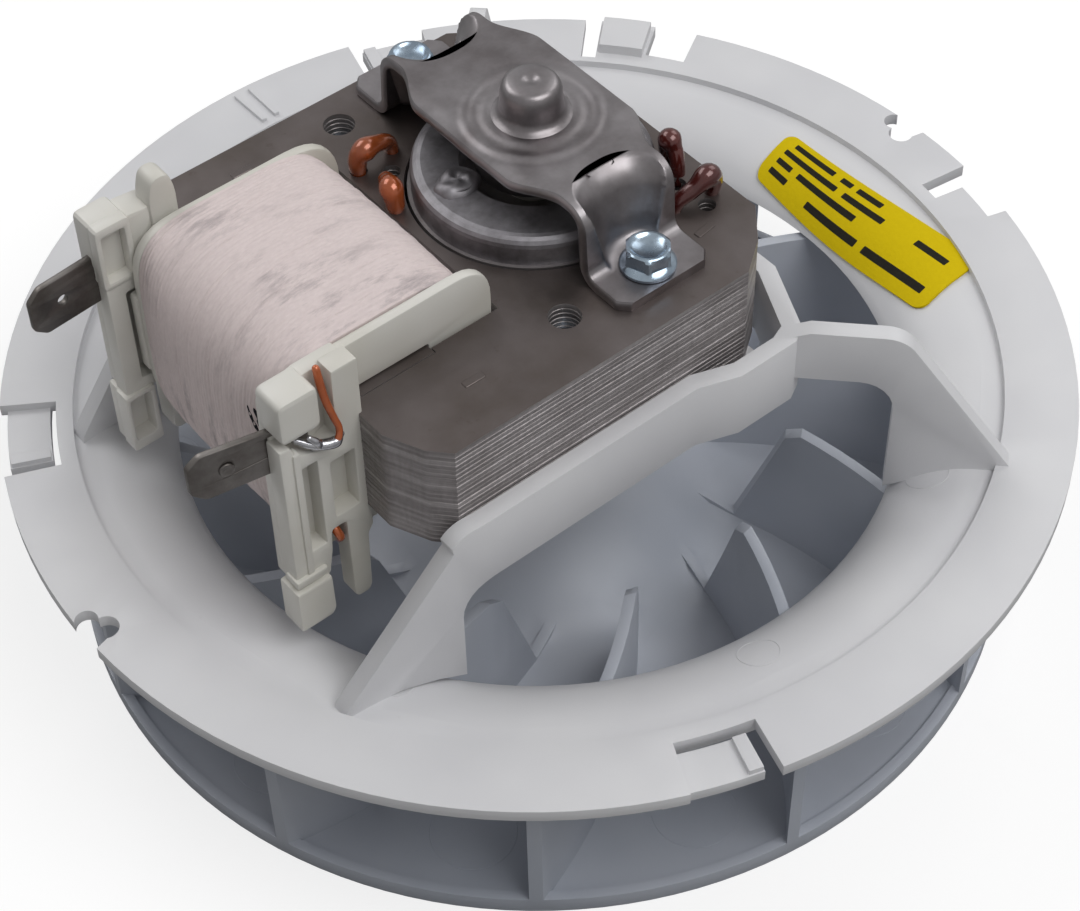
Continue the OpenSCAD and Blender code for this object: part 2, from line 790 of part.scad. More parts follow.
module cap_section(open_end) {
    base = core_top + bridge_rise;
    r = cap_out_r;
    in = r - bridge_t;
    top_r = 2.65;
    polygon([
        [in, base - bridge_t], [r + 0.9, base - eps], [r + 0.2, base + 0.4], [r, base + 1],
        [r - 0.15, base + cap_h - 0.8], [top_r, base + cap_h - 0.1], [top_r - 0.3, base + cap_h],
        [open_end ? in : 0, base + cap_h], [open_end ? in : 0, base + cap_h - bridge_t],
        [in, base + cap_h - bridge_t - 0.2]
    ]);
}

module upper_bridge() {
    color(steel) {
        bridge_body();
        rotate_extrude($fn = 64) cap_section(false);
    }
}

module lower_bridge() {
    color(steel)
        below_core() {
            bridge_body();
            rotate_extrude($fn = 64) cap_section(true);
        }
}

// Sintered bearings, round outside so that they align themselves
module bearing() {
    translate([0, 0, bearing_low])
        rotate_extrude($fn = 64)
            intersection() {
                translate([0, bearing_h / 2]) circle(r = bearing_r, $fn = 64);
                translate([shaft_r + bearing_clear, 0]) square([bearing_r, bearing_h]);
            }
}

module upper_bearing() {
    color("goldenrod") bearing();
}

module lower_bearing() {
    color("goldenrod") below_core() bearing();
}

// Felt rings that feed oil to the bearings
module felt() {
    tube(felt_out_r, felt_in_r, bearing_low + 0.8, bearing_top - 0.1);
}

module upper_felt() {
    color("beige") felt();
}

module lower_felt() {
    color("beige") below_core() felt();
}

// Pressed cups that hold bearing and felt against the bridges
module retainer() {
    tube(cup_out_r, cup_in_r, bearing_low - 0.2, bearing_top);
    tube(cup_out_r, bearing_r - 0.7, bearing_low - cup_t, bearing_low - 0.1);
}

module upper_retainer() {
    color(steel) retainer();
}

module lower_retainer() {
    color(steel) below_core() retainer();
}

// Screws

// A hexagon-head screw with a flange, head up, its seat at z = 0
module flange_screw(l) {
    washer_t = 0.8;
    cylinder(h = washer_t, r = screw_flange_r, $fn = 48);
    translate([0, 0, washer_t - eps])
        cylinder(h = screw_head_h, r = screw_flange_r - 0.4, $fn = 6);
    translate([0, 0, -l]) cylinder(h = l + eps, r = screw_r, $fn = 32);
}

module bridge_screws() {
    color(zinc)
        for (s = [-1, 1])
            translate([0, bridge_shift + s * bridge_screw_y, core_top + bridge_t])
                flange_screw(core_t + 2 * bridge_t + 1.5);
}

module mounting_screws() {
    color(zinc)
        for (y = [-fix_near_y, fix_far_y])
            translate([-fix_hole_x, y, core_z - lug_t])
                rotate([180, 0, 0]) flange_screw(core_t + 1.8);
}

// Shading rings: copper loops let into the core beside the bore

// Middle of each loop's two legs, for the coil side; the open side has the same, turned about the shaft
shading_legs = [[[-13.6, 13.4], [-10.9, 11]], [[-14, 6.4], [-12.7, 9]]];
shade_r = 0.9;
open_turn = 172;

module shading_slots() {
    for (turn = [0, open_turn], loop = shading_legs, p = loop)
        rotate([0, 0, turn]) translate(p) circle(r = shade_r + 0.05, $fn = 24);
}

module shading_ring(i, turn) {
    a = shading_legs[i][0];
    b = shading_legs[i][1];
    low = core_z - 1.2;
    high = core_top + 2.2;
    joint_r = shade_r + 0.15;
    ang = atan2(b[1] - a[1], b[0] - a[0]);
    rotate([0, 0, turn]) {
        for (p = [a, b]) {
            translate([p[0], p[1], low]) cylinder(h = high - low, r = shade_r, $fn = 24);
            // soldered joints at the loop's corners
            for (z = [low, high]) translate([p[0], p[1], z]) sphere(r = joint_r, $fn = 24);
        }
        for (z = [low, high])
            translate([a[0], a[1], z])
                rotate([0, 90, ang]) cylinder(h = norm(b - a), r = 0.8 * shade_r, $fn = 24);
    }
}

module shading_ring_1() {
    color("chocolate") shading_ring(0, 0);
}

module shading_ring_2() {
    color("chocolate") shading_ring(1, 0);
}

module shading_ring_3() {
    color("maroon") shading_ring(0, open_turn);
}

module shading_ring_4() {
    color("maroon") shading_ring(1, open_turn);
}

// Paper label on the slope of the bell mouth
module rating_label() {
    // layer of glue between the paper and the bell mouth
    glue_t = 0.2;
    label_angle = -8.04;
    label_tilt = 2.64;
    color("gold")
        intersection() {
            rotate([0, 0, label_angle])
                translate([throat_r + 4.56, 0, -ring_depth])
                    rotate([0, 0, label_tilt])
                        linear_extrude(height = ring_depth + 1) square([label_w, label_l], center = true);
            rotate_extrude($fn = 256)
                intersection() {
                    translate([bell_x, bell_z])
                        difference() {
                            circle(r = bell_r + glue_t + label_t, $fn = 128);
                            circle(r = bell_r + glue_t, $fn = 128);
                        }
                    translate([throat_r, -ring_depth]) square([step_r - throat_r - 0.3, ring_depth]);
                }
        }
}

mounting_ring();
impeller();
hub_clip();
stator_core();
limb_core();
bobbin();
coil_winding();
coil_tape();
terminal_near();
terminal_far();
coil_lead_near();
coil_lead_far();
rotor_core();
rotor_cage();
shaft();
thrust_spacers();
upper_bridge();
lower_bridge();
upper_bearing();
lower_bearing();
upper_felt();
lower_felt();
upper_retainer();
lower_retainer();
bridge_screws();
mounting_screws();
shading_ring_1();
shading_ring_2();
shading_ring_3();
shading_ring_4();
rating_label();
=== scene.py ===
"""Looks of a cooling fan: a shaded-pole motor in a moulded bell-mouth ring, over a centrifugal wheel.

Everything is in metres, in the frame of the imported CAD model, and sizes are read from it.
"""

import json
import math
import random

import bmesh
import bpy
from mathutils import Matrix, Vector
from mathutils.geometry import tessellate_polygon

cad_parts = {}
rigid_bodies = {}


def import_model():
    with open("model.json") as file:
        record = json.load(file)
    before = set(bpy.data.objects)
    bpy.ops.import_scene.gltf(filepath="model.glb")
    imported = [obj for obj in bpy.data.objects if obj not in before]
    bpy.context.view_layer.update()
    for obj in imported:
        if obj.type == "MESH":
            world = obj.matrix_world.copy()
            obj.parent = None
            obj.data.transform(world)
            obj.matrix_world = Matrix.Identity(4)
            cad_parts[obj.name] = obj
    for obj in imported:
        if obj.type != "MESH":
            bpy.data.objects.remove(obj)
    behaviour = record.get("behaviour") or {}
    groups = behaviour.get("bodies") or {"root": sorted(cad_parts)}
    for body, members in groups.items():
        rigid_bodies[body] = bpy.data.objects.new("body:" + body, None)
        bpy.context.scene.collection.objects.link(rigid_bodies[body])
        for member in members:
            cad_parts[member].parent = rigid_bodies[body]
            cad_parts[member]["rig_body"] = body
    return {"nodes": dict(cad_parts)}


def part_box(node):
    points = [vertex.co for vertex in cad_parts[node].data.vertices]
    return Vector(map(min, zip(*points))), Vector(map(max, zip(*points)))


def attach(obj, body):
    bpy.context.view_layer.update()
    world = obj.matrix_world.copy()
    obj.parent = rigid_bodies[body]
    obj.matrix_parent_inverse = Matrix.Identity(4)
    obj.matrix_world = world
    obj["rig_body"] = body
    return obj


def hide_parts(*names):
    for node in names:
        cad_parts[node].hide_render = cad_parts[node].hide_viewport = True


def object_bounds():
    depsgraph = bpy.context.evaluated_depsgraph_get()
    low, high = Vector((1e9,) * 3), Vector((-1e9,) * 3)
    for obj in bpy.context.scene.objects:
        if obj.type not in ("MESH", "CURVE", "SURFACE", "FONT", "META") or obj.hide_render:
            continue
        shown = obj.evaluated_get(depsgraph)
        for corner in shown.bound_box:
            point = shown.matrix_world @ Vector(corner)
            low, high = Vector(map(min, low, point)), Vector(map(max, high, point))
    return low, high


MM = 0.001

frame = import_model()
NODES = frame["nodes"]
CAD_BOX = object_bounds()

# Camera, as fitted to the photograph's frame
CAM_TARGET = Vector((0, 0, -17.0)) * MM
CAM_DISTANCE = 304.1 * MM
CAM_AZIMUTH = -38.5
CAM_ELEVATION = 48.775
CAM_ROLL = -1.382
CAM_LENS = 83.09
CAM_SENSOR = 36.0

LAMINATION = 0.65 * MM

WORLD_FILL = 0.26
WORLD_GLOSS = 0.5
FLOOR_LIFT = 0.72


def rgb(r, g, b):
    """An sRGB colour in 0-255, as the linear colour that shaders take."""
    def lin(v):
        v /= 255
        return v / 12.92 if v <= 0.04045 else ((v + 0.055) / 1.055) ** 2.4

    return (lin(r), lin(g), lin(b), 1.0)


# ---------------------------------------------------------------- shader helpers


class Shader:
    """A material under construction, with short calls for the nodes it uses."""

    def __init__(self, name):
        self.mat = bpy.data.materials.new(name)
        self.mat.use_nodes = True
        self.tree = self.mat.node_tree
        self.bsdf = self.tree.nodes["Principled BSDF"]
        self.coord = self.tree.nodes.new("ShaderNodeTexCoord")

    def node(self, kind, **values):
        n = self.tree.nodes.new(kind)
        for key, value in values.items():
            setattr(n, key, value)
        return n

    def link(self, out, socket):
        self.tree.links.new(out, socket)

    def set(self, **values):
        for key, value in values.items():
            self.bsdf.inputs[key.replace("_", " ")].default_value = value

    def place(self, scale=(1, 1, 1), turn=(0, 0, 0)):
        """Object coordinates, scaled and turned."""
        m = self.node("ShaderNodeMapping")
        m.inputs["Scale"].default_value = scale
        m.inputs["Rotation"].default_value = [math.radians(a) for a in turn]
        self.link(self.coord.outputs["Object"], m.inputs["Vector"])
        return m.outputs["Vector"]

    def noise(self, size_mm, detail=4, rough=0.55, where=None):
        n = self.node("ShaderNodeTexNoise")
        n.inputs["Scale"].default_value = 1 / (size_mm * MM)
        n.inputs["Detail"].default_value = detail
        n.inputs["Roughness"].default_value = rough
        self.link(where or self.coord.outputs["Object"], n.inputs["Vector"])
        return n.outputs["Fac"]

    def ramp(self, fac, *stops):
        """stops are (position, colour or grey level)."""
        r = self.node("ShaderNodeValToRGB")
        e = r.color_ramp.elements
        while len(e) < len(stops):
            e.new(0.5)
        for el, (pos, col) in zip(e, stops):
            el.position = pos
            el.color = col if isinstance(col, tuple) else (col, col, col, 1)
        self.link(fac, r.inputs["Fac"])
        return r.outputs["Color"]

    def mix(self, fac, a, b, mode="MIX"):
        m = self.node("ShaderNodeMix", data_type="RGBA", blend_type=mode)
        for value, key in ((fac, 0), (a, 6), (b, 7)):
            if isinstance(value, (int, float, tuple)):
                m.inputs[key].default_value = value
            else:
                self.link(value, m.inputs[key])
        return m.outputs[2]

    def math(self, op, a, b=0.0):
        m = self.node("ShaderNodeMath", operation=op)
        for i, value in enumerate((a, b)):
            if isinstance(value, (int, float)):
                m.inputs[i].default_value = value
            else:
                self.link(value, m.inputs[i])
        return m.outputs[0]

    def colour(self, out):
        self.link(out, self.bsdf.inputs["Base Color"])

    def rough(self, out):
        self.link(out, self.bsdf.inputs["Roughness"])

    def bump(self, height, strength, depth_mm, after=None):
        b = self.node("ShaderNodeBump")
        b.inputs["Strength"].default_value = strength
        b.inputs["Distance"].default_value = depth_mm * MM
        self.link(height, b.inputs["Height"])
        if after is not None:
            self.link(after, b.inputs["Normal"])
        self.link(b.outputs["Normal"], self.bsdf.inputs["Normal"])
        return b.outputs["Normal"]


# ---------------------------------------------------------------- materials


def moulded(name, base, shade, roughness=0.42, grain=0.25):
    """Satin moulded plastic: faint tone drift, fine grain, a few grey scuffs."""
    s = Shader(name)
    drift = s.noise(26, 3)
    tone = s.ramp(drift, (0.35, shade), (0.62, base))
    scuff = s.ramp(s.noise(3.2, 6, 0.7), (0.70, 0.0), (0.80, 1.0))
    s.colour(s.mix(s.math("MULTIPLY", scuff, 0.10), tone, rgb(120, 118, 114)))
    s.rough(s.math("ADD", s.math("MULTIPLY", s.noise(1.6, 4), 0.14), roughness - 0.07))
    s.bump(s.noise(0.35, 3), grain, 0.02)
    s.set(IOR=1.46)
    return s.mat


def metal(name, base, stain, roughness, stain_size=7, scratch=0.25, metallic=1.0):
    """Plated or bare metal with stains, fine scratches and uneven polish."""
    s = Shader(name)
    s.set(Metallic=metallic)
    blot = s.ramp(s.noise(stain_size, 5, 0.6), (0.38, 0.0), (0.66, 1.0))
    s.colour(s.mix(blot, base, stain))
    streak = s.noise(1.0, 3, 0.6, s.place((1, 9, 1), (0, 0, 35)))
    s.rough(s.math("ADD", s.math("MULTIPLY", s.noise(2.4, 5), 0.22), roughness - 0.11))
    s.bump(streak, scratch, 0.02)
    return s.mat


def lamination_faces():
    """Top and bottom of the core: dull steel under brown stain, with worn bright spots."""
    s = Shader("core_face_steel")
    s.set(Metallic=0.8)
    stain = s.ramp(s.noise(14, 6, 0.6), (0.32, 0.0), (0.70, 1.0))
    tone = s.mix(stain, rgb(112, 105, 104), rgb(88, 80, 76))
    rust = s.ramp(s.noise(2.2, 5, 0.7), (0.63, 0.0), (0.74, 1.0))
    s.colour(s.mix(s.math("MULTIPLY", rust, 0.35), tone, rgb(70, 54, 44)))
    s.rough(s.math("ADD", s.math("MULTIPLY", s.noise(3, 4), 0.25), 0.26))
    s.bump(s.noise(0.8, 4), 0.3, 0.02)
    return s.mat


def lamination_edges():
    """Sheared edges of the stack: each sheet its own tone, dark joints, vertical shear marks."""
    s = Shader("core_edge_steel")
    s.set(Metallic=0.75)
    sheet = s.noise(0.65, 0, 0.5, s.place((0.02, 0.02, 1)))
    tone = s.ramp(sheet, (0.3, rgb(138, 133, 133)), (0.7, rgb(168, 163, 163)))
    grime = s.ramp(s.noise(6, 5, 0.6), (0.42, 0.0), (0.7, 1.0))
    tone = s.mix(s.math("MULTIPLY", grime, 0.3), tone, rgb(84, 76, 72))
    shear = s.noise(0.5, 2, 0.5, s.place((1, 1, 0.3)))
    s.colour(s.mix(s.math("MULTIPLY", shear, 0.25), tone, rgb(60, 56, 55)))
    s.rough(s.math("ADD", s.math("MULTIPLY", shear, 0.3), 0.3))
    s.bump(shear, 0.5, 0.05)
    return s.mat


def woven_tape():
    """White cotton tape: fine weave, turns that overlap, grey smudges on the crown."""
    s = Shader("cotton_tape_weave")
    wind = s.node("ShaderNodeTexWave", wave_type="BANDS", bands_direction="Y")
    wind.inputs["Scale"].default_value = 1 / (1.5 * MM) / 20
    wind.inputs["Distortion"].default_value = 1.2
    s.link(s.place(), wind.inputs["Vector"])
    threads = s.noise(0.28, 2, 0.5, s.place((0.4, 1, 0.4)))
    base = s.mix(threads, rgb(224, 211, 209), rgb(204, 190, 189))
    smudge = s.ramp(s.noise(3.4, 7, 0.75, s.place((0.4, 1.5, 0.4))), (0.50, 0.0), (0.66, 1.0))
    where = s.ramp(s.noise(16, 2), (0.40, 0.0), (0.60, 1.0))
    s.colour(s.mix(s.math("MULTIPLY", s.math("MULTIPLY", smudge, where), 0.6), base, rgb(122, 115, 119)))
    s.set(Roughness=0.85)
    n = s.bump(threads, 0.6, 0.08)
    s.bump(wind.outputs["Fac"], 0.25, 0.10, n)
    return s.mat


def enamel(name, base, deep):
    s = Shader(name)
    s.set(Metallic=0.35, Roughness=0.22, Coat_Weight=0.8, Coat_Roughness=0.12)
    s.colour(s.mix(s.noise(2.0, 4), base, deep))
    s.bump(s.noise(1.2, 3), 0.25, 0.06)
    return s.mat


def fibre(name, base, shade):
    s = Shader(name)
    s.set(Roughness=0.9, Specular_IOR_Level=0.15)
    s.colour(s.mix(s.noise(0.6, 5), base, shade))
    s.bump(s.noise(0.4, 4), 0.6, 0.1)
    return s.mat


def make_materials():
    white = moulded("ring_satin_white", rgb(216, 216, 218), rgb(208, 208, 211))
    wheel = moulded("wheel_satin_grey", rgb(180, 184, 193), rgb(170, 175, 185), 0.38)
    bobbin = moulded("bobbin_warm_white", rgb(216, 214, 208), rgb(200, 197, 187), 0.36)
    cast = metal("die_cast_aluminium", rgb(156, 154, 158), rgb(118, 115, 118), 0.52, 4, 0.5)
    sheet = metal("pressed_zinc_sheet", rgb(150, 146, 148), rgb(120, 115, 116), 0.36, 8, 0.3)
    zinc = metal("blue_zinc", rgb(176, 192, 206), rgb(140, 156, 172), 0.24, 3, 0.15)
    steel = metal("ground_steel_bright", rgb(168, 166, 166), rgb(130, 127, 126), 0.28, 3, 0.2)
    tin = metal("dull_tin_plate", rgb(126, 122, 119), rgb(98, 93, 89), 0.42, 4, 0.25)
    bronze = metal("oiled_bronze", rgb(168, 128, 76), rgb(120, 86, 50), 0.4, 3, 0.3)
    return {
        "mounting_ring": white, "impeller": wheel, "bobbin": bobbin, "thrust_spacers": bobbin,
        "stator_core": lamination_faces(), "limb_core": lamination_faces(),
        "rotor_core": lamination_edges(), "rotor_cage": cast,
        "coil_tape": woven_tape(), "coil_winding": enamel("amber_wire", rgb(190, 96, 44), rgb(140, 62, 26)),
        "coil_lead_near": enamel("amber_lead", rgb(200, 104, 50), rgb(150, 66, 28)),
        "coil_lead_far": enamel("amber_lead_far", rgb(200, 104, 50), rgb(150, 66, 28)),
        "terminal_near": tin, "terminal_far": tin, "shaft": steel, "hub_clip": steel,
        "upper_bridge": sheet, "lower_bridge": sheet, "upper_retainer": sheet, "lower_retainer": sheet,
        "upper_bearing": bronze, "lower_bearing": bronze,
        "upper_felt": fibre("oiled_felt", rgb(176, 160, 120), rgb(140, 122, 84)),
        "lower_felt": fibre("oiled_felt_low", rgb(176, 160, 120), rgb(140, 122, 84)),
        "bridge_screws": zinc, "mounting_screws": zinc,
        "shading_ring_1": enamel("copper_orange", rgb(178, 92, 44), rgb(120, 52, 24)),
        "shading_ring_2": enamel("copper_orange_b", rgb(190, 96, 44), rgb(130, 58, 26)),
        "shading_ring_3": enamel("copper_maroon", rgb(104, 40, 34), rgb(62, 24, 22)),
        "shading_ring_4": enamel("copper_maroon_b", rgb(96, 36, 32), rgb(58, 22, 20)),
        "rating_label": fibre("label_yellow", rgb(216, 190, 10), rgb(206, 180, 6)),
    }


def dress(obj, mat):
    obj.data.materials.clear()
    obj.data.materials.append(mat)


# ---------------------------------------------------------------- mesh helpers, in millimetres


def piece(name, verts, faces, mat, body, replaced=(), smooth=True, crease=35):
    """A closed mesh, given in millimetres, that rides on a body and may stand for CAD nodes."""
    me = bpy.data.meshes.new(name)
    me.from_pydata([tuple(c * MM for c in v) for v in verts], [], faces)
    bm = bmesh.new()
    bm.from_mesh(me)
    bmesh.ops.remove_doubles(bm, verts=bm.verts, dist=1e-6)
    bmesh.ops.recalc_face_normals(bm, faces=bm.faces)
    if smooth:
        limit = math.radians(crease)
        for f in bm.faces:
            f.smooth = True
        for e in bm.edges:
            e.smooth = not (e.is_manifold and e.calc_face_angle(0) > limit)
    bm.to_mesh(me)
    bm.free()
    o = bpy.data.objects.new(name, me)
    bpy.context.collection.objects.link(o)
    dress(o, mat)
    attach(o, body)
    if replaced:
        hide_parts(*replaced)
    return o


class Form:
    """Collects closed shells, which may overlap, for one piece."""

    def __init__(self):
        self.verts = []
        self.faces = []

    def add(self, verts, faces):
        n = len(self.verts)
        self.verts += [tuple(v) for v in verts]
        self.faces += [tuple(i + n for i in f) for f in faces]

    def lofted(self, rings, closed=False):
        """Skins rings of equal count. The first and last are capped unless the loft closes on itself."""
        n = len(rings[0])
        verts = [v for ring in rings for v in ring]
        faces = []
        rows = len(rings)
        for i in range(rows if closed else rows - 1):
            a, b = i * n, ((i + 1) % rows) * n
            faces += [(a + j, a + (j + 1) % n, b + (j + 1) % n, b + j) for j in range(n)]
        if not closed:
            faces.append(tuple(range(n)))
            faces.append(tuple(range((rows - 1) * n, rows * n)))
        self.add(verts, faces)

    def revolved(self, profile, centre=(0, 0, 0), steps=48):
        """Turns (radius, height) points about an upright axis. A radius of 0 closes an end."""
        cx, cy, cz = centre
        rings = []
        for r, z in profile:
            r = max(r, 1e-4)
            rings.append([(cx + r * math.cos(2 * math.pi * k / steps),
                           cy + r * math.sin(2 * math.pi * k / steps), cz + z) for k in range(steps)])
        closed = profile[0][0] > 0.01 and profile[-1][0] > 0.01
        self.lofted(rings, closed)

    def tube(self, path, radii, steps=16):
        """A round wire along a path of points, with a radius at each."""
        pts, rad = smooth_path(path, radii)
        rings = []
        side = Vector((0.3, 0.8, 0.5)).normalized()
        for i, p in enumerate(pts):
            t = (pts[min(i + 1, len(pts) - 1)] - pts[max(i - 1, 0)]).normalized()
            side = (side - t * side.dot(t)).normalized()
            up = t.cross(side)
            rings.append([p + (side * math.cos(a) + up * math.sin(a)) * rad[i]
                          for a in (2 * math.pi * k / steps for k in range(steps))])
        # round ends
        for end, step in ((0, 1), (-1, -1)):
            c, ring = pts[end], rings[end]
            t = (pts[end] - pts[end + step]).normalized()
            r = rad[end]
            caps = [[c + t * r * math.sin(b) + (q - c) * math.cos(b) for q in ring] for b in (0.5, 1.0, 1.4)]
            if end == 0:
                rings = caps[::-1] + rings
            else:
                rings = rings + caps
        self.lofted(rings)

    def plate(self, loops, profile, to_space):
        """Lofts flat loops through (depth, inset) steps and fills both ends, holes left open.

        The first loop runs anticlockwise and holes clockwise, as (u, v) points."""
        layers = []
        for depth, inset in profile:
            layers.append([[(*q, depth) for q in inset_loop(loop, inset)] for loop in loops])
        base = len(self.verts)
        index = []
        for layer in layers:
            rows = []
            for loop in layer:
                start = len(self.verts)
                self.verts += [to_space(*q) for q in loop]
                rows.append(list(range(start, start + len(loop))))
            index.append(rows)
        for lower, upper in zip(index, index[1:]):
            for a, b in zip(lower, upper):
                n = len(a)
                self.faces += [(a[j], a[(j + 1) % n], b[(j + 1) % n], b[j]) for j in range(n)]
        for layer, rows in ((layers[0], index[0]), (layers[-1], index[-1])):
            flat = [i for row in rows for i in row]
            for tri in fill(layer):
                self.faces.append(tuple(flat[k] for k in tri))
        return base


def inset_loop(loop, inset):
    """Moves a loop into its material, which lies on its left."""
    out = []
    n = len(loop)
    for i in range(n):
        p, a, b = Vector(loop[i]), Vector(loop[i - 1]), Vector(loop[(i + 1) % n])
        d1, d2 = (p - a).normalized(), (b - p).normalized()
        n1, n2 = Vector((-d1.y, d1.x)), Vector((-d2.y, d2.x))
        m = (n1 + n2) / max(1 + n1.dot(n2), 0.35)
        out.append(tuple(p + m * inset))
    return out


def fill(layer):
    """Triangles that fill flat loops, as indices into the loops' points one after another."""
    points = [Vector((q[0], q[1], 0)) for loop in layer for q in loop]
    return tessellate_polygon([[Vector((q[0], q[1], 0)) for q in loop] for loop in layer]) if points else []


def smooth_path(path, radii, per=8):
    """Catmull-Rom points through a path, with the radius carried along."""
    p = [Vector(q) for q in path]
    r = list(radii)
    p = [p[0] * 2 - p[1]] + p + [p[-1] * 2 - p[-2]]
    r = [r[0]] + r + [r[-1]]
    pts, rad = [], []
    for i in range(1, len(p) - 2):
        for k in range(per):
            t = k / per
            a, b, c, d = p[i - 1], p[i], p[i + 1], p[i + 2]
            pts.append(0.5 * ((2 * b) + (c - a) * t + (2 * a - 5 * b + 4 * c - d) * t * t
                              + (3 * b - a - 3 * c + d) * t ** 3))
            s = t * t * (3 - 2 * t)
            rad.append(r[i] * (1 - s) + r[i + 1] * s)
    pts.append(p[-2])
    rad.append(r[-2])
    return pts, rad


def soft_edges(depth, bevel):
    """Loft steps of a plate from 0 to depth with rounded edges."""
    return [(0, bevel), (bevel * 0.3, bevel * 0.3), (bevel, 0),
            (depth - bevel, 0), (depth - bevel * 0.3, bevel * 0.3), (depth, bevel)]


def rounded(outline, radius, steps=4):
    """An anticlockwise outline with its corners rounded."""
    out = []
    n = len(outline)
    for i in range(n):
        p, a, b = Vector(outline[i]), Vector(outline[i - 1]), Vector(outline[(i + 1) % n])
        r = min(radius, (p - a).length * 0.45, (b - p).length * 0.45)
        s, e = p + (a - p).normalized() * r, p + (b - p).normalized() * r
        for k in range(steps + 1):
            t = k / steps
            out.append(tuple(s * (1 - t) ** 2 + p * 2 * t * (1 - t) + e * t * t))
    return out


def box_loop(x0, z0, x1, z1):
    return [(x0, z0), (x1, z0), (x1, z1), (x0, z1)]


def smoothstep(a, b, v):
    t = min(max((v - a) / (b - a), 0), 1)
    return t * t * (3 - 2 * t)


def mm_box(node):
    lo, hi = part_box(node)
    return lo / MM, hi / MM


# ---------------------------------------------------------------- the laminated stack


def cap_loops(obj, z_top):
    """Boundary loops of a CAD node's upper face, as anticlockwise outline and clockwise holes."""
    bm = bmesh.new()
    bm.from_mesh(obj.data)
    bmesh.ops.remove_doubles(bm, verts=bm.verts, dist=2e-6)
    top = {f for f in bm.faces if f.normal.z > 0.99 and abs(f.calc_center_median().z / MM - z_top) < 0.01}
    nxt = {}
    for f in top:
        for loop in f.loops:
            others = [g for g in loop.edge.link_faces if g in top]
            if len(others) == 1:
                nxt[loop.vert] = loop.link_loop_next.vert
    loops = []
    while nxt:
        start, cur = next(iter(nxt.items()))
        chain = [start]
        del nxt[start]
        while cur is not start:
            chain.append(cur)
            cur = nxt.pop(cur)
        loops.append([(v.co.x / MM, v.co.y / MM) for v in chain])
    bm.free()

    def area(l):
        return sum(l[i - 1][0] * l[i][1] - l[i][0] * l[i - 1][1] for i in range(len(l))) / 2

    loops.sort(key=area, reverse=True)
    return loops


def split_long(loop, longest=1.2):
    out = []
    for i, p in enumerate(loop):
        q = loop[(i + 1) % len(loop)]
        n = max(1, math.ceil(math.dist(p, q) / longest))
        out += [(p[0] + (q[0] - p[0]) * k / n, p[1] + (q[1] - p[1]) * k / n) for k in range(n)]
    return out


def make_stack(name, node, mats, seed):
    """The core as separate sheets: each edge stands a little out of the joint between two sheets."""
    lo, hi = mm_box(node)
    sheets = round((hi.z - lo.z) / (LAMINATION / MM))
    pitch = (hi.z - lo.z) / sheets
    rng = random.Random(seed)
    loops = [split_long(l) for l in cap_loops(NODES[node], hi.z)]
    profile = [(0, 0.05)]
    for i in range(sheets):
        z = i * pitch
        out = rng.uniform(0, 0.035)
        profile += [(z + 0.05, out), (z + pitch - 0.12, out + 0.012)]
        if i < sheets - 1:
            profile.append((z + pitch - 0.035, 0.13))
    profile.append((hi.z - lo.z, 0.05))
    form = Form()
    form.plate(loops, profile, lambda u, v, w: (u, v, lo.z + w))
    o = piece(name, form.verts, form.faces, mats[0], "frame", (node,), smooth=True, crease=25)
    o.data.materials.append(mats[1])
    for p in o.data.polygons:
        p.material_index = 0 if abs(p.normal.z) > 0.9 and p.center.z > hi.z * MM - 1e-5 else 1
        if abs(p.normal.z) > 0.9 and p.center.z < lo.z * MM + 1e-5:
            p.material_index = 0


# ---------------------------------------------------------------- bridge and its screws


BRIDGE_SHIFT = 1.4
SCREW_OFF = 20.2


def bridge_path():
    """Upper surface of the bridge from its middle to one foot: (distance, height, run on the bend)."""
    pts = [(d, 9.6) for d in (i * 0.3 for i in range(60)) if d < 14.4]
    pts += [(14.5 + 2.9 * math.sin(a), 6.7 + 2.9 * math.cos(a)) for a in (math.radians(5 * k) for k in range(19))]
    pts += [(17.4 + 0.02 * k, 6.7 - 0.36 * k) for k in range(1, 12)]
    pts += [(18.9 - 1.3 * math.cos(a), 2.6 - 1.4 * math.sin(a)) for a in (math.radians(10 * k) for k in range(1, 10))]
    pts += [(d, 1.2) for d in (18.9 + 0.3 * i for i in range(1, 16))] + [(23.5, 1.2)]
    return pts


def bridge_width(d):
    w = 8.7 - 2.5 * smoothstep(7.4, 13.6, d)
    if d > 22.3:
        w -= (d - 22.3) * 0.95
    return w


def bridge_point(side, d, z, x):
    """A point of the pressed sheet's upper surface. The bend is scooped out round the screw's head."""
    f = min(max((z - 1.6) / 7.4, 0), 1)
    depth = 1.7 + 1.9 * f
    width = 3.5 + 1.7 * f
    g = max(0, 1 - (abs(x) / width) ** 2.6) ** 0.75
    on = smoothstep(12.2, 15.4, d) * (1 - smoothstep(17.7, 19.2, d) * (1 if z < 2.5 else 0))
    y = side * (d - depth * g * on) + BRIDGE_SHIFT
    r = math.hypot(x, y)
    ripple = (0.10 * math.exp(-((r - 4.9) / 0.6) ** 2) - 0.06 * math.exp(-((r - 6.1) / 0.5) ** 2)
              + 0.07 * math.exp(-((r - 7.1) / 0.5) ** 2) - 0.05 * math.exp(-((r - 8.1) / 0.45) ** 2))
    edge = 0.12 * smoothstep(6.5, 8.7, abs(x))
    return (x, y, z + (ripple - edge if z > 9 else 0))


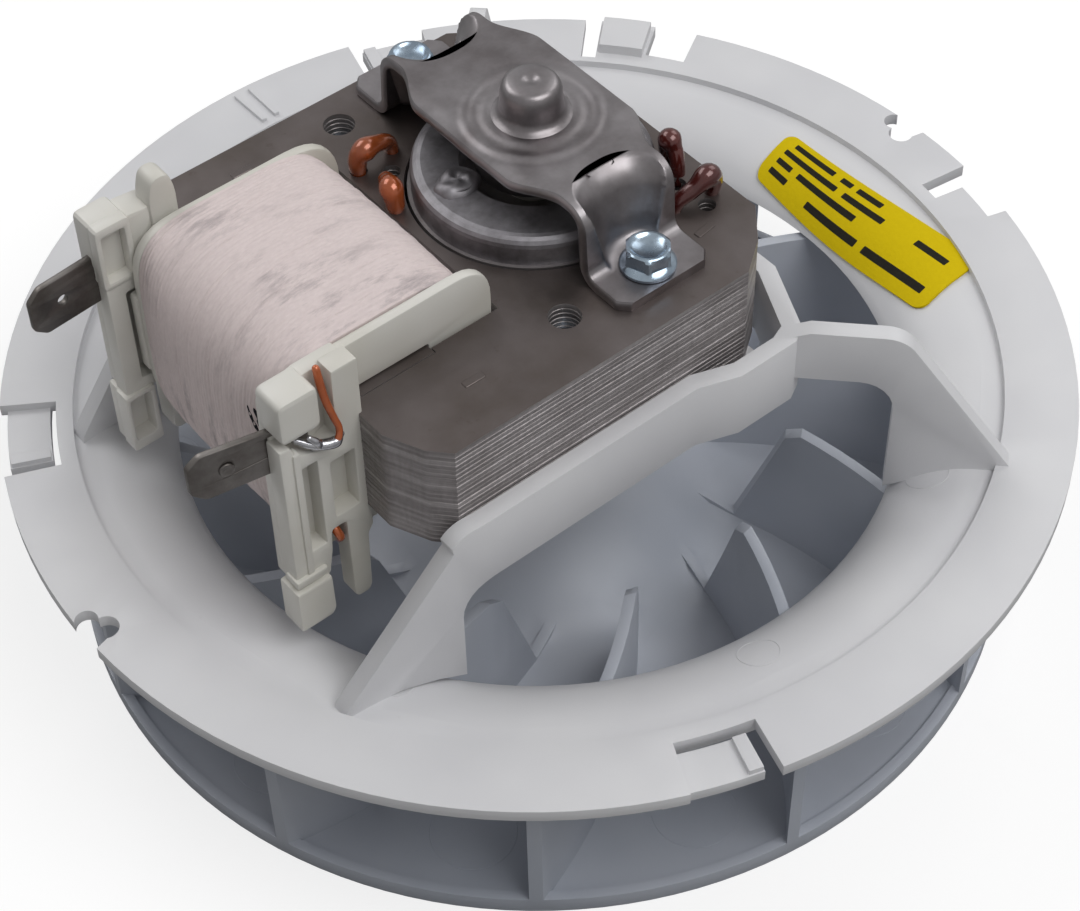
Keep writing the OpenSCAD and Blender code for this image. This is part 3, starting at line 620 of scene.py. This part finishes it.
def make_bridge(mat, top):
    half = bridge_path()
    rows = [(-1, d, z) for d, z in reversed(half[1:])] + [(1, d, z) for d, z in half]
    across = 64
    t = 1.2
    grid = []
    for side, d, z in rows:
        w = bridge_width(d)
        grid.append([Vector(bridge_point(side, d, z, -w + 2 * w * k / across)) for k in range(across + 1)])
    low = []
    for i, row in enumerate(grid):
        a, b = grid[max(i - 1, 0)], grid[min(i + 1, len(grid) - 1)]
        line = []
        for j, p in enumerate(row):
            u = b[j] - a[j]
            v = row[min(j + 1, across)] - row[max(j - 1, 0)]
            line.append(p - u.cross(v).normalized() * (-t) if u.cross(v).z < 0 else p - u.cross(v).normalized() * t)
        low.append(line)
    # where the normal turns level, keep the side that faces away from the upper surface
    rings = []
    for up, dn in zip(grid, low):
        e0 = (up[0] - up[1]).normalized() * 0.22
        e1 = (up[-1] - up[-2]).normalized() * 0.22
        ring = [p for p in up]
        ring[0], ring[-1] = up[0] - e0, up[-1] - e1
        under = [p for p in reversed(dn)]
        under[0], under[-1] = dn[-1] - e1 * 0.4, dn[0] - e0 * 0.4
        ring += [up[-1].lerp(dn[-1], 0.22), up[-1].lerp(dn[-1], 0.8)] + under
        ring += [up[0].lerp(dn[0], 0.8), up[0].lerp(dn[0], 0.22)]
        rings.append([(p[0], p[1], p[2] + top) for p in ring])
    form = Form()
    form.lofted(rings)
    cap = [(0, 8.6), (4.4, 8.6), (4.4, 9.62), (4.15, 9.78), (3.85, 9.95), (3.6, 10.25), (3.46, 10.7),
           (3.4, 11.6), (3.34, 12.6), (3.22, 13.15), (3.02, 13.55), (2.75, 13.82), (2.4, 13.96),
           (1.2, 14.0), (0.75, 13.97), (0.5, 13.82), (0, 13.8)]
    form.revolved(cap, (0, 0, top), 72)
    piece("bearing_bridge", form.verts, form.faces, mat, "frame", ("upper_bridge",), crease=50)


def hex_reach(angle, apothem):
    a = (angle + math.pi / 6) % (math.pi / 3) - math.pi / 6
    return apothem / math.cos(a)


def make_screws(mat, name, node, seats, length, flip):
    """Hexagon screws with a flange: conical flange, chamfered corners, dished top, ridged shank."""
    form = Form()
    steps = 72
    for x, y, z in seats:
        turn = 0.35 + 0.6 * (y > 0)
        rings = []

        def ring(h, circle, hexed=0.0, least=99.0):
            pts = []
            for k in range(steps):
                a = 2 * math.pi * k / steps
                r = circle * (1 - hexed) + min(hex_reach(a, 2.32), least) * hexed
                pts.append((x + r * math.cos(a + turn), y + r * math.sin(a + turn) * flip, z + h * flip))
            rings.append(pts)

        n = int(length / 0.5)
        ring(-length, 0.9)
        for k in range(n):
            ring(-length + 0.15 + 0.5 * k, 1.5 if k else 1.3)
            ring(-length + 0.4 + 0.5 * k, 1.22)
        ring(-0.02, 1.45)
        ring(0, 2.9)
        ring(0.12, 3.04)
        ring(0.42, 3.04)
        ring(0.6, 2.92)
        ring(0.86, 2.7, 0.35)
        ring(1.0, 2.6, 1.0)
        ring(2.1, 2.6, 1.0)
        ring(2.35, 2.6, 1.0, 2.6)
        ring(2.6, 2.6, 1.0, 2.36)
        ring(2.7, 2.18)
        ring(2.7, 1.95)
        ring(2.52, 1.72)
        ring(2.36, 1.4)
        ring(2.34, 0.3)
        form.lofted(rings)
    piece(name, form.verts, form.faces, mat, "frame", (node,), crease=28)


# ---------------------------------------------------------------- coil


def tape_point(x0, x1, z0, z1, y, y0, y1, turn, lift=0.0):
    """A point of the taped coil: a rounded box that swells between the bobbin's flanges."""
    s = abs(2 * (y - y0) / (y1 - y0) - 1)
    swell = 1.25 * (1 - s ** 3.2)
    power = 4.6 - 1.4 * (1 - s ** 4)
    a, b = (x1 - x0) / 2 + swell + lift, (z1 - z0) / 2 + swell * 0.8 + lift
    c, q = math.cos(turn), math.sin(turn)
    k = (abs(c) ** power + abs(q) ** power) ** (-1 / power)
    # soft overlaps of the tape's turns, and a little unevenness
    step = ((y - y0) / 3.1 + turn / (2 * math.pi)) % 1
    fold = 0.07 * (1 - smoothstep(0, 0.12, step)) + 0.05 * math.sin(3.1 * y + 4 * turn) * math.sin(5 * turn)
    fold += 0.03 * math.sin(y * 2 * math.pi / 0.55)
    return ((x0 + x1) / 2 + (a + fold) * c * k, y, (z0 + z1) / 2 + (b + fold) * q * k)


def make_tape(mat, ink):
    lo, hi = mm_box("coil_tape")
    args = (lo.x, hi.x, lo.z, hi.z)
    rings = []
    rows, steps = 250, 260
    for i in range(rows + 1):
        y = lo.y + (hi.y - lo.y) * i / rows
        rings.append([tape_point(*args, y, lo.y, hi.y, 2 * math.pi * k / steps) for k in range(steps)])
    for i in (rows, 0):
        y = hi.y if i else lo.y
        rings.append([tape_point(*args, y, lo.y, hi.y, 2 * math.pi * k / steps, -1.3) for k in range(steps)])
    form = Form()
    form.lofted(rings, closed=True)
    piece("coil_wrap", form.verts, form.faces, mat, "frame", ("coil_tape",), crease=50)
    # a fitter's pen mark: short strokes on the outer face
    form = Form()
    for y_a, t_a, y_b, t_b, w in ((-6.6, 2.72, -8.3, 2.93, 0.5), (-7.6, 2.70, -9.2, 2.90, 0.6),
                                  (-7.9, 2.79, -9.6, 2.97, 0.45)):
        rings = []
        for k in range(13):
            f = k / 12
            y, t = y_a + (y_b - y_a) * f, t_a + (t_b - t_a) * f
            half = w * math.sqrt(max(0.02, 1 - (2 * f - 1) ** 4)) / 2
            rings.append([tape_point(*args, y + s * half, lo.y, hi.y, t, h)
                          for s, h in ((-1, 0.03), (1, 0.03), (1, -0.3), (-1, -0.3))])
        form.lofted(rings)
    piece("ink_mark", form.verts, form.faces, ink, "frame")


# ---------------------------------------------------------------- bobbin, terminals and leads


def make_bobbin(mat):
    lo, hi = mm_box("bobbin")
    tape_lo, tape_hi = mm_box("coil_tape")
    limb_lo, limb_hi = mm_box("limb_core")
    form = Form()

    def upright(y0):
        return lambda u, v, w: (u, y0 + w, v)

    def slab(loops, y0, depth, bevel=0.3):
        form.plate(loops, soft_edges(depth, bevel), upright(y0))

    def hole(loop):
        return loop[::-1]

    flange = rounded(box_loop(-43, 7.8, -15.6, 35), 4.6, 8)
    inner = hole(rounded(box_loop(limb_lo.x - 0.1, limb_lo.z - 0.1, limb_hi.x + 0.1, limb_hi.z + 0.1), 0.3, 2))
    slab([flange, inner], tape_lo.y - 1.3, 1.3, 0.3)
    far_flange = rounded(box_loop(-41.7, 9, -15.6, 34.6), 6, 8)
    slab([far_flange, inner], tape_hi.y, 1.3, 0.3)
    slab([rounded(box_loop(-36.1, 13.2, -22.9, 29.6), 1, 3), inner], tape_lo.y - 0.5, tape_hi.y - tape_lo.y + 1, 0.1)
    # near block: its face with two pockets, the wire's channel, the leg and the foot
    face = rounded([(-44.6, 7.4), (-40.4, 7.4), (-39.8, 10.8), (-39.6, 13.8), (-37.8, 13.8), (-37.7, 1.6),
                    (-37.3, 0.9), (-35.8, 0.9), (-35.4, 1.6), (-35.2, 10), (-34.5, 11), (-34.5, 36.2),
                    (-37.7, 36.2), (-37.8, 27.2), (-39.8, 26.3), (-42.6, 27.6), (-43.3, 29.2), (-44.6, 29.3)], 0.35, 2)
    left = hole(rounded(box_loop(-43, 12.4, -40.4, 25.2), 0.25, 2))
    right = hole(rounded(box_loop(-38.9, 15.4, -35.9, 23.8), 0.25, 2))
    slab([face, left, right], -15.2, 2.4, 0.22)
    slab([rounded([(-44.4, 7.6), (-35.2, 11), (-34.8, 35.6), (-39.8, 35.6), (-44.2, 34)], 0.5, 2)], -13.1, 1.9, 0.2)
    slab([rounded(box_loop(-44.4, 30.4, -39.6, 36), 0.9, 4)], -15.7, 4.1, 0.45)
    slab([rounded([(-45.1, 1.5), (-41, 1.5), (-40.5, 2.3), (-40.6, 7.7), (-45.1, 7.7)], 0.4, 2)], -15.8, 3.4, 0.3)
    slab([rounded([(-44.9, 8.5), (-41.2, 8.5), (-40.9, 9.5), (-44.9, 9.5)], 0.3, 2)], -15.7, 2.2, 0.2)
    slab([rounded([(-43.2, 9.2), (-42.4, 9.2), (-42.4, 28), (-43.2, 28)], 0.2, 2)], -15.45, 1.2, 0.12)
    # far block: windowed head, stepped shoulder, rounded post, column, foot and leg
    slab([rounded(box_loop(-44.8, 28, -40.5, 36.6), 0.7, 3),
          hole(rounded(box_loop(-44.1, 28.9, -41.3, 35.3), 0.3, 2))], 15.7, 1.6, 0.3)
    slab([rounded(box_loop(-44.8, 28, -40.5, 36.6), 0.8, 3)], 17.1, 3, 0.35)
    slab([rounded([(-41.2, 27.4), (-38.4, 29), (-37.2, 31), (-37.2, 35.8), (-40.4, 36.2), (-41.2, 36)], 0.5, 3)],
         16.2, 3.4, 0.35)
    slab([rounded([(-38, 26), (-34.6, 26), (-34.6, 37), (-35.3, 39.3), (-37.3, 39.3), (-38, 37)], 1.2, 5)],
         15.8, 2.9, 0.4)
    slab([rounded([(-44.7, 11.6), (-37.4, 11.6), (-37.2, 28.4), (-44.6, 28.6)], 0.4, 2),
          hole(rounded(box_loop(-42.4, 13.4, -39.4, 26.4), 0.3, 2))], 15.9, 2.2, 0.25)
    slab([rounded([(-44.4, 11.8), (-37.2, 12.2), (-37.2, 28.4), (-44.3, 28.4)], 0.4, 2)], 17.9, 1.9, 0.25)
    slab([rounded(box_loop(-45.2, 3.4, -41.3, 12), 0.4, 2),
          hole(rounded(box_loop(-44.6, 5, -42, 11.2), 0.3, 2))], 15.5, 2.2, 0.25)
    slab([rounded(box_loop(-45, 3.5, -41.4, 12), 0.4, 2)], 17.4, 1.9, 0.25)
    slab([rounded([(-39.5, 3), (-39, 2.5), (-37.7, 2.5), (-37.3, 3), (-37.2, 12), (-39.6, 12)], 0.4, 2)], 16.2, 3, 0.3)
    # webs from the blocks to the flanges
    slab([rounded(box_loop(-42, 15, -36, 26), 0.5, 2)], tape_hi.y + 0.8, 1.4, 0.2)
    slab([rounded(box_loop(-42, 15, -36, 26), 0.5, 2)], -12.6, 1.2, 0.2)
    piece("moulded_bobbin", form.verts, form.faces, mat, "frame", ("bobbin",), crease=30)


def make_terminal(name, node, mat, dimple, lift, yaw):
    """A spade blade with clipped, rounded corners, a latching hole or dimple and a tongue for the wire."""
    lo, hi = mm_box(node)
    z0, z1 = lo.z, hi.z
    outline = rounded([(lo.x, z0 + 1.3), (lo.x + 1.5, z0), (hi.x + 2.2, z0), (hi.x + 2.2, z0 + 2.4),
                       (hi.x + 3.6, z0 + 2.6), (hi.x + 3.6, z1 - 1.2), (hi.x + 0.8, z1 - 0.6), (hi.x + 0.4, z1),
                       (lo.x + 1.5, z1), (lo.x, z1 - 1.3)], 0.4, 3)
    cx, cz = lo.x + 4, (z0 + z1) / 2
    form = Form()
    loops = [outline]
    if not dimple:
        loops.append([(cx + 0.62 * math.cos(-a), cz + 0.62 * math.sin(-a))
                      for a in (2 * math.pi * k / 24 for k in range(24))])
    def bent(u, v, w):
        out = max(hi.x - u, 0)
        return (u + out * (1 - math.cos(yaw)), lo.y + w + out * math.sin(yaw), v + lift)

    form.plate(loops, soft_edges(hi.y - lo.y, 0.16), bent)
    if dimple:
        ring = [(0.85, 0), (0.8, 0.09), (0.65, 0.13), (0.5, 0.09), (0.3, 0.03), (0, 0)]
        form.lofted([[bent(cx + r * math.cos(a), cz + r * math.sin(a), 0.05 - h)
                      for a in (2 * math.pi * j / 24 for j in range(24))]
                     for r, h in [(0.85, -0.1)] + ring[:-1] + [(0.05, 0.02)]])
    piece(name, form.verts, form.faces, mat, "frame", (node,), crease=30)


def make_leads(wire, solder):
    form = Form()
    form.tube([(-38.5, -13.9, 36.3), (-38.6, -14.5, 34.6), (-38.5, -15.0, 32.6), (-38.2, -15.6, 30.6),
               (-38.0, -16.1, 29.2), (-38.5, -16.4, 28.2), (-39.5, -16.1, 27.9), (-40.4, -15.5, 28.4)],
              [0.42, 0.46, 0.44, 0.4, 0.38, 0.38, 0.36, 0.34])
    form.tube([(-38.9, -13.9, 13.2), (-38.8, -14.6, 12.6), (-38.6, -14.9, 11.8), (-38.4, -14.4, 10.9)], [0.5] * 4)
    piece("wire_lead_near", form.verts, form.faces, wire, "frame", ("coil_lead_near",), crease=60)
    form = Form()
    form.tube([(-39.2, 19.2, 35.4), (-39.4, 19.9, 34.2), (-39.8, 20.5, 32.2), (-40.8, 20.6, 30.6),
               (-41.9, 19.9, 29.8)], [0.4] * 5)
    piece("wire_lead_far", form.verts, form.faces, wire, "frame", ("coil_lead_far",), crease=60)
    form = Form()
    form.tube([(-37.9, -16.2, 28.4), (-38.7, -16.3, 27.9), (-39.8, -15.9, 27.9), (-41.0, -15.2, 28.2),
               (-42.0, -14.3, 28.7)], [0.35, 0.62, 0.58, 0.5, 0.4])
    form.tube([(-41.2, -15.6, 29.6), (-40.6, -15.9, 28.8), (-40.2, -15.7, 27.7), (-40.6, -14.9, 27.0)],
              [0.3, 0.42, 0.42, 0.3])
    piece("solder_joint", form.verts, form.faces, solder, "frame", crease=60)


def make_shading(mats):
    """Ends of the shading rings: thick lacquered wire, swollen where each loop is joined."""
    top = 28.4
    low = 14.4
    paths = {
        "shading_ring_1": [(-8.6, 13.8, top - 1), (-9.2, 13.7, top + 1.4), (-10.9, 13.2, top + 2.6),
                           (-12.7, 13.2, top + 2.7), (-13.6, 13.4, top + 1.6), (-13.6, 13.4, top - 1)],
        "shading_ring_2": [(-12.9, 9.6, top - 1), (-13.0, 9.2, top + 1.2), (-13.5, 8.2, top + 2.1),
                           (-14.2, 6.5, top + 2.6), (-14.2, 6.0, top + 1.0), (-14.0, 6.2, top - 1)],
        "shading_ring_3": [(12.5, -9.6, top - 1), (12.7, -9.1, top + 1.2), (12.9, -8.4, top + 2.4),
                           (12.9, -7.6, top + 3.3), (13.2, -7.0, top + 2.4), (13.4, -6.7, top - 1)],
        "shading_ring_4": [(8.2, -13.2, top - 1), (8.8, -13.6, top + 1.0), (10.6, -14.0, top + 2.0),
                           (12.5, -14.1, top + 2.9), (13.4, -14.0, top + 1.8), (13.4, -13.8, top - 1)],
    }
    for name, path in paths.items():
        form = Form()
        radii = [0.8, 0.85, 0.95, 1.35, 1.1, 0.8]
        form.tube(path, radii, 20)
        form.tube([(x, y, low + (top - z) * 0.55) for x, y, z in path], [0.8] * 6, 14)
        piece(name.replace("ring", "loop"), form.verts, form.faces, mats[name], "frame", (name,), crease=60)


# ---------------------------------------------------------------- small forms on ring, wheel and rotor


def bell_height(r):
    """Height of the bell mouth's surface at a radius, from the ring's CAD sizes."""
    if r > BELL_CROWN:
        return -STEP_DROP
    return -STEP_DROP - BELL_CURVE + math.sqrt(max(BELL_CURVE ** 2 - (BELL_CROWN - r) ** 2, 0))


STEP_DROP = 0.9
BELL_CURVE = 11.3
BELL_CROWN = 52.0


def circle_mark(form, cx, cy, radius, height, width, rise, part=1.0, start=0.0):
    """A thin raised line in a circle, as an ejector pin or gate leaves it."""
    n = 56
    rings = []
    for k in range(n if part >= 1 else int(n * part)):
        a = start + 2 * math.pi * k / n
        ring = []
        for dr, dz in ((-width / 2, -0.12), (-width / 4, rise), (width / 4, rise), (width / 2, -0.12)):
            x, y = cx + (radius + dr) * math.cos(a), cy + (radius + dr) * math.sin(a)
            ring.append((x, y, height(math.hypot(x, y)) + dz))
        rings.append(ring)
    form.lofted(rings, closed=part >= 1)


def make_marks(white, wheel):
    form = Form()
    for az, r, size in ((-100, 47.6, 2.3), (-60, 47.0, 2.3), (-148, 47.6, 2.0), (-23, 48.0, 2.3), (60, 47.5, 2.3),
                        (120, 47.5, 2.3)):
        a = math.radians(az)
        circle_mark(form, r * math.cos(a), r * math.sin(a), size, bell_height, 0.22, 0.05)
    piece("ring_gate_marks", form.verts, form.faces, white, "frame")
    lo, hi = mm_box("impeller")
    disc = lo.z + 1.8
    form = Form()
    for k in range(12):
        a = math.radians(11.4 + 30 * k)
        circle_mark(form, 48.4 * math.cos(a), 48.4 * math.sin(a), 4.9, lambda r: disc, 0.2, 0.05)
    piece("wheel_pin_marks", form.verts, form.faces, wheel, "rotor")


def make_label(paper, ink):
    """The label with round corners, lying on the bell mouth, and plain bars where it is printed."""
    lo_t, hi_t = 0.05, 0.38
    # plan places of the inner and outer edges: one end, the middle, the other end
    inner = ((43.6, 9.6), (42.95, -4.7), (41.1, -22.2))
    outer = ((50.2, 10.1), (50.7, -5.2), (51.9, -21.6))
    corner = 1.4
    length = 31.0

    def along(edge, v):
        (x0, y0), (x1, y1), (x2, y2) = edge
        a, b, c = 2 * (v - 0.5) * (v - 1), -4 * v * (v - 1), 2 * v * (v - 0.5)
        return Vector((x0 * a + x1 * b + x2 * c, y0 * a + y1 * b + y2 * c))

    def at(u, v, lift):
        p = along(inner, v).lerp(along(outer, v), u)
        r = p.length
        slope = (BELL_CROWN - r) / BELL_CURVE if r < BELL_CROWN else 0
        z = bell_height(r) + lift * math.sqrt(max(1 - slope * slope, 0.1))
        k = 1 - lift * max(slope, 0) / r
        return (p.x * k, p.y * k, z)

    def patch(form, u0, u1, v0, v1, low, high, round_r, nu, nv):
        rings = []
        for i in range(nv + 1):
            v = v0 + (v1 - v0) * (0.5 - 0.5 * math.cos(math.pi * i / nv))
            e = min(v - v0, v1 - v) * length
            width = (along(outer, v) - along(inner, v)).length
            cut = (round_r - math.sqrt(max(round_r ** 2 - (round_r - e) ** 2, 0))) / width if e < round_r else 0
            us = [u0 + cut + (u1 - u0 - 2 * cut) * k / nu for k in range(nu + 1)]
            rings.append([at(u, v, high) for u in us] + [at(u, v, low) for u in reversed(us)])
        form.lofted(rings)

    form = Form()
    patch(form, 0, 1, 0, 1, lo_t, hi_t, corner, 40, 70)
    piece("yellow_label", form.verts, form.faces, paper, "frame", ("rating_label",), crease=60)
    form = Form()
    bars = [(0.84, 0.07, 0.30), (0.84, 0.34, 0.40), (0.84, 0.43, 0.56), (0.64, 0.05, 0.36), (0.64, 0.40, 0.62),
            (0.44, 0.05, 0.14), (0.44, 0.18, 0.52), (0.24, 0.05, 0.16), (0.20, 0.30, 0.60), (0.20, 0.64, 0.95),
            (0.66, 0.78, 0.93)]
    for u, v0, v1 in bars:
        patch(form, u - 0.05, u + 0.05, v0, v1, hi_t - 0.06, hi_t + 0.02, 0.1, 4, 24)
    piece("label_bars", form.verts, form.faces, ink, "frame")


def make_stamps(mat):
    """Stamped marks that lock the sheets of the core together."""
    top = mm_box("stator_core")[1].z
    form = Form()
    for x, y, turn in ((8.8, -17.9, 8), (-23.4, -19.0, 0), (8.8, 20.6, 0), (-23.4, 21.6, 0)):
        c, q = math.cos(math.radians(turn)), math.sin(math.radians(turn))
        loop = rounded(box_loop(-1.3, -0.45, 1.3, 0.45), 0.15, 2)
        for dx in (0, 0.0):
            form.plate([loop], [(-0.2, 0), (0.05, 0), (0.1, 0.06)],
                       lambda u, v, w: (x + u * c - v * q, y + u * q + v * c, top + w))
    piece("stamp_marks", form.verts, form.faces, mat, "frame", crease=25)


def make_cast_boss(mat):
    """The irregular pin head that the casting leaves on the rotor's end ring."""
    lo, hi = mm_box("rotor_cage")
    rng = random.Random(7)
    cx, cy = -8.9, 1.8
    steps = 28
    wob = [rng.uniform(-0.25, 0.25) for _ in range(steps)]
    wob = [(wob[i - 1] + wob[i] * 2 + wob[(i + 1) % steps]) / 4 for i in range(steps)]
    rings = []
    for r, h in ((2.5, -0.4), (2.45, 0.05), (2.2, 0.4), (1.8, 0.75), (1.2, 0.85), (0.6, 0.7), (0.15, 0.6)):
        rings.append([(cx + (r + wob[k] * min(1, r)) * 1.12 * math.cos(a), cy + (r + wob[k] * min(1, r)) * 0.92 * math.sin(a),
                       hi.z - 0.6 + h + 0.14 * math.sin(3 * a + r * 2)) for k, a in
                      ((k, 2 * math.pi * k / steps) for k in range(steps))])
    form = Form()
    form.lofted(rings)
    piece("cast_pin_head", form.verts, form.faces, mat, "rotor", crease=60)


def softened(node, name, mat, width):
    """A CAD node's own shape with its sharp edges rounded, as a moulding has them."""
    src = NODES[node]
    me = src.data.copy()
    bm = bmesh.new()
    bm.from_mesh(me)
    bmesh.ops.remove_doubles(bm, verts=bm.verts, dist=2e-6)
    bmesh.ops.dissolve_limit(bm, angle_limit=math.radians(0.4), verts=bm.verts, edges=bm.edges)
    bm.to_mesh(me)
    bm.free()
    o = bpy.data.objects.new(name, me)
    bpy.context.collection.objects.link(o)
    bev = o.modifiers.new("round_edges", "BEVEL")
    bev.width = width * MM
    bev.segments = 2
    bev.limit_method = "ANGLE"
    bev.angle_limit = math.radians(38)
    bev.use_clamp_overlap = True
    deps = bpy.context.evaluated_depsgraph_get()
    deps.update()
    done = bpy.data.meshes.new_from_object(o.evaluated_get(deps))
    o.modifiers.clear()
    o.data = done
    bm = bmesh.new()
    bm.from_mesh(done)
    bmesh.ops.triangulate(bm, faces=bm.faces)
    bmesh.ops.remove_doubles(bm, verts=bm.verts, dist=1e-7)
    open_edges = sum(1 for e in bm.edges if not e.is_manifold)
    for f in bm.faces:
        f.smooth = True
    for e in bm.edges:
        e.smooth = not (e.is_manifold and e.calc_face_angle(0) > math.radians(32))
    bm.to_mesh(done)
    bm.free()
    dress(o, mat)
    print(name, "open edges", open_edges, "faces", len(done.polygons))
    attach(o, src["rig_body"])
    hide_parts(node)
    return open_edges


# ---------------------------------------------------------------- camera, light and stage


def make_camera():
    cam = bpy.data.objects.new("camera", bpy.data.cameras.new("camera"))
    bpy.context.collection.objects.link(cam)
    cam.data.lens = CAM_LENS
    cam.data.sensor_width = CAM_SENSOR
    cam.data.clip_start, cam.data.clip_end = 0.01, 10
    a, e = math.radians(CAM_AZIMUTH), math.radians(CAM_ELEVATION)
    back = Vector((math.sin(a) * math.cos(e), -math.cos(a) * math.cos(e), math.sin(e)))
    right = Vector((0, 0, 1)).cross(back).normalized()
    up = back.cross(right)
    roll = math.radians(CAM_ROLL)
    r2 = right * math.cos(roll) + up * math.sin(roll)
    u2 = up * math.cos(roll) - right * math.sin(roll)
    m = Matrix((r2, u2, back)).transposed().to_4x4()
    m.translation = CAM_TARGET + back * CAM_DISTANCE
    cam.matrix_world = m
    bpy.context.scene.camera = cam
    bpy.context.scene.view_settings.view_transform = "Standard"


def area_light(name, place, size, power, aim=(0, 0, 0), tint=(1, 1, 1)):
    lamp = bpy.data.lights.new(name, "AREA")
    lamp.shape = "RECTANGLE"
    lamp.size, lamp.size_y = size
    lamp.energy = power
    lamp.color = tint
    o = bpy.data.objects.new(name, lamp)
    bpy.context.collection.objects.link(o)
    o.location = place
    o.rotation_mode = "QUATERNION"
    o.rotation_quaternion = (Vector(aim) - Vector(place)).to_track_quat("-Z", "Y")


def make_world():
    world = bpy.data.worlds.new("studio")
    bpy.context.scene.world = world
    world.use_nodes = True
    t = world.node_tree
    bg = t.nodes["Background"]
    rays = t.nodes.new("ShaderNodeLightPath")
    seen = t.nodes.new("ShaderNodeMath")
    seen.operation = "MAXIMUM"
    t.links.new(rays.outputs["Is Camera Ray"], seen.inputs[0])
    t.links.new(rays.outputs["Is Transmission Ray"], seen.inputs[1])
    gloss = t.nodes.new("ShaderNodeMix")
    gloss.inputs["A"].default_value = WORLD_FILL
    gloss.inputs["B"].default_value = WORLD_GLOSS
    t.links.new(rays.outputs["Is Glossy Ray"], gloss.inputs["Factor"])
    strength = t.nodes.new("ShaderNodeMix")
    strength.inputs["B"].default_value = 1.0
    t.links.new(gloss.outputs["Result"], strength.inputs["A"])
    t.links.new(seen.outputs[0], strength.inputs["Factor"])
    t.links.new(strength.outputs["Result"], bg.inputs["Strength"])
    bg.inputs["Color"].default_value = (1, 1, 1, 1)


def make_floor():
    low = CAD_BOX[0].z
    half = 1.5
    me = bpy.data.meshes.new("floor")
    me.from_pydata([(-half, -half, low), (half, -half, low), (half, half, low), (-half, half, low)],
                   [], [(0, 1, 2, 3)])
    floor = bpy.data.objects.new("floor", me)
    bpy.context.collection.objects.link(floor)
    s = Shader("floor_white")
    s.set(Roughness=0.9, Specular_IOR_Level=0.1)
    s.bsdf.inputs["Base Color"].default_value = (0.34, 0.34, 0.34, 1)
    rays = s.node("ShaderNodeLightPath")
    s.bsdf.inputs["Emission Color"].default_value = (1, 1, 1, 1)
    s.link(s.math("MULTIPLY", rays.outputs["Is Camera Ray"], FLOOR_LIFT), s.bsdf.inputs["Emission Strength"])
    dress(floor, s.mat)


def make_lights():
    area_light("key", (0.1, -0.42, 0.7), (0.6, 0.5), 3.4)
    area_light("side", (0.55, 0.1, 0.5), (0.4, 0.4), 0.8)
    area_light("back", (-0.15, 0.55, 0.62), (0.6, 0.4), 2.0)


def main():
    make_camera()
    make_world()
    make_lights()
    make_floor()
    mats = make_materials()
    for name, mat in mats.items():
        dress(NODES[name], mat)
    edges = lamination_edges()
    make_stack("stack_main", "stator_core", (mats["stator_core"], edges), 3)
    make_stack("stack_limb", "limb_core", (mats["limb_core"], edges), 5)
    make_bridge(mats["upper_bridge"], mm_box("stator_core")[1].z)
    make_tape(mats["coil_tape"], fibre("pen_ink", rgb(40, 40, 46), rgb(28, 28, 34)))
    make_bobbin(mats["bobbin"])
    make_terminal("blade_near", "terminal_near", mats["terminal_near"], True, 1.3, math.radians(13))
    make_terminal("blade_far", "terminal_far", mats["terminal_far"], False, 1.0, math.radians(-5))
    make_leads(mats["coil_lead_near"], metal("solder_bright", rgb(196, 196, 200), rgb(150, 150, 156), 0.2, 2, 0.1))
    make_shading(mats)
    make_marks(mats["mounting_ring"], mats["impeller"])
    make_label(mats["rating_label"], fibre("label_ink", rgb(44, 42, 34), rgb(32, 30, 26)))
    make_cast_boss(mats["rotor_cage"])
    make_stamps(mats["stator_core"])
    core_top = mm_box("stator_core")[1].z
    make_screws(mats["bridge_screws"], "flange_screws_top", "bridge_screws",
                [(0, BRIDGE_SHIFT + s * SCREW_OFF, core_top + 1.2) for s in (-1, 1)], 17.9, 1)
    make_screws(mats["mounting_screws"], "flange_screws_low", "mounting_screws",
                [(-10.7, y, mm_box("mounting_screws")[0].z + 2.7) for y in (-18.1, 20.9)], 13.2, -1)
    softened("mounting_ring", "ring_moulding", mats["mounting_ring"], 0.25)
    softened("impeller", "wheel_moulding", mats["impeller"], 0.22)


main()
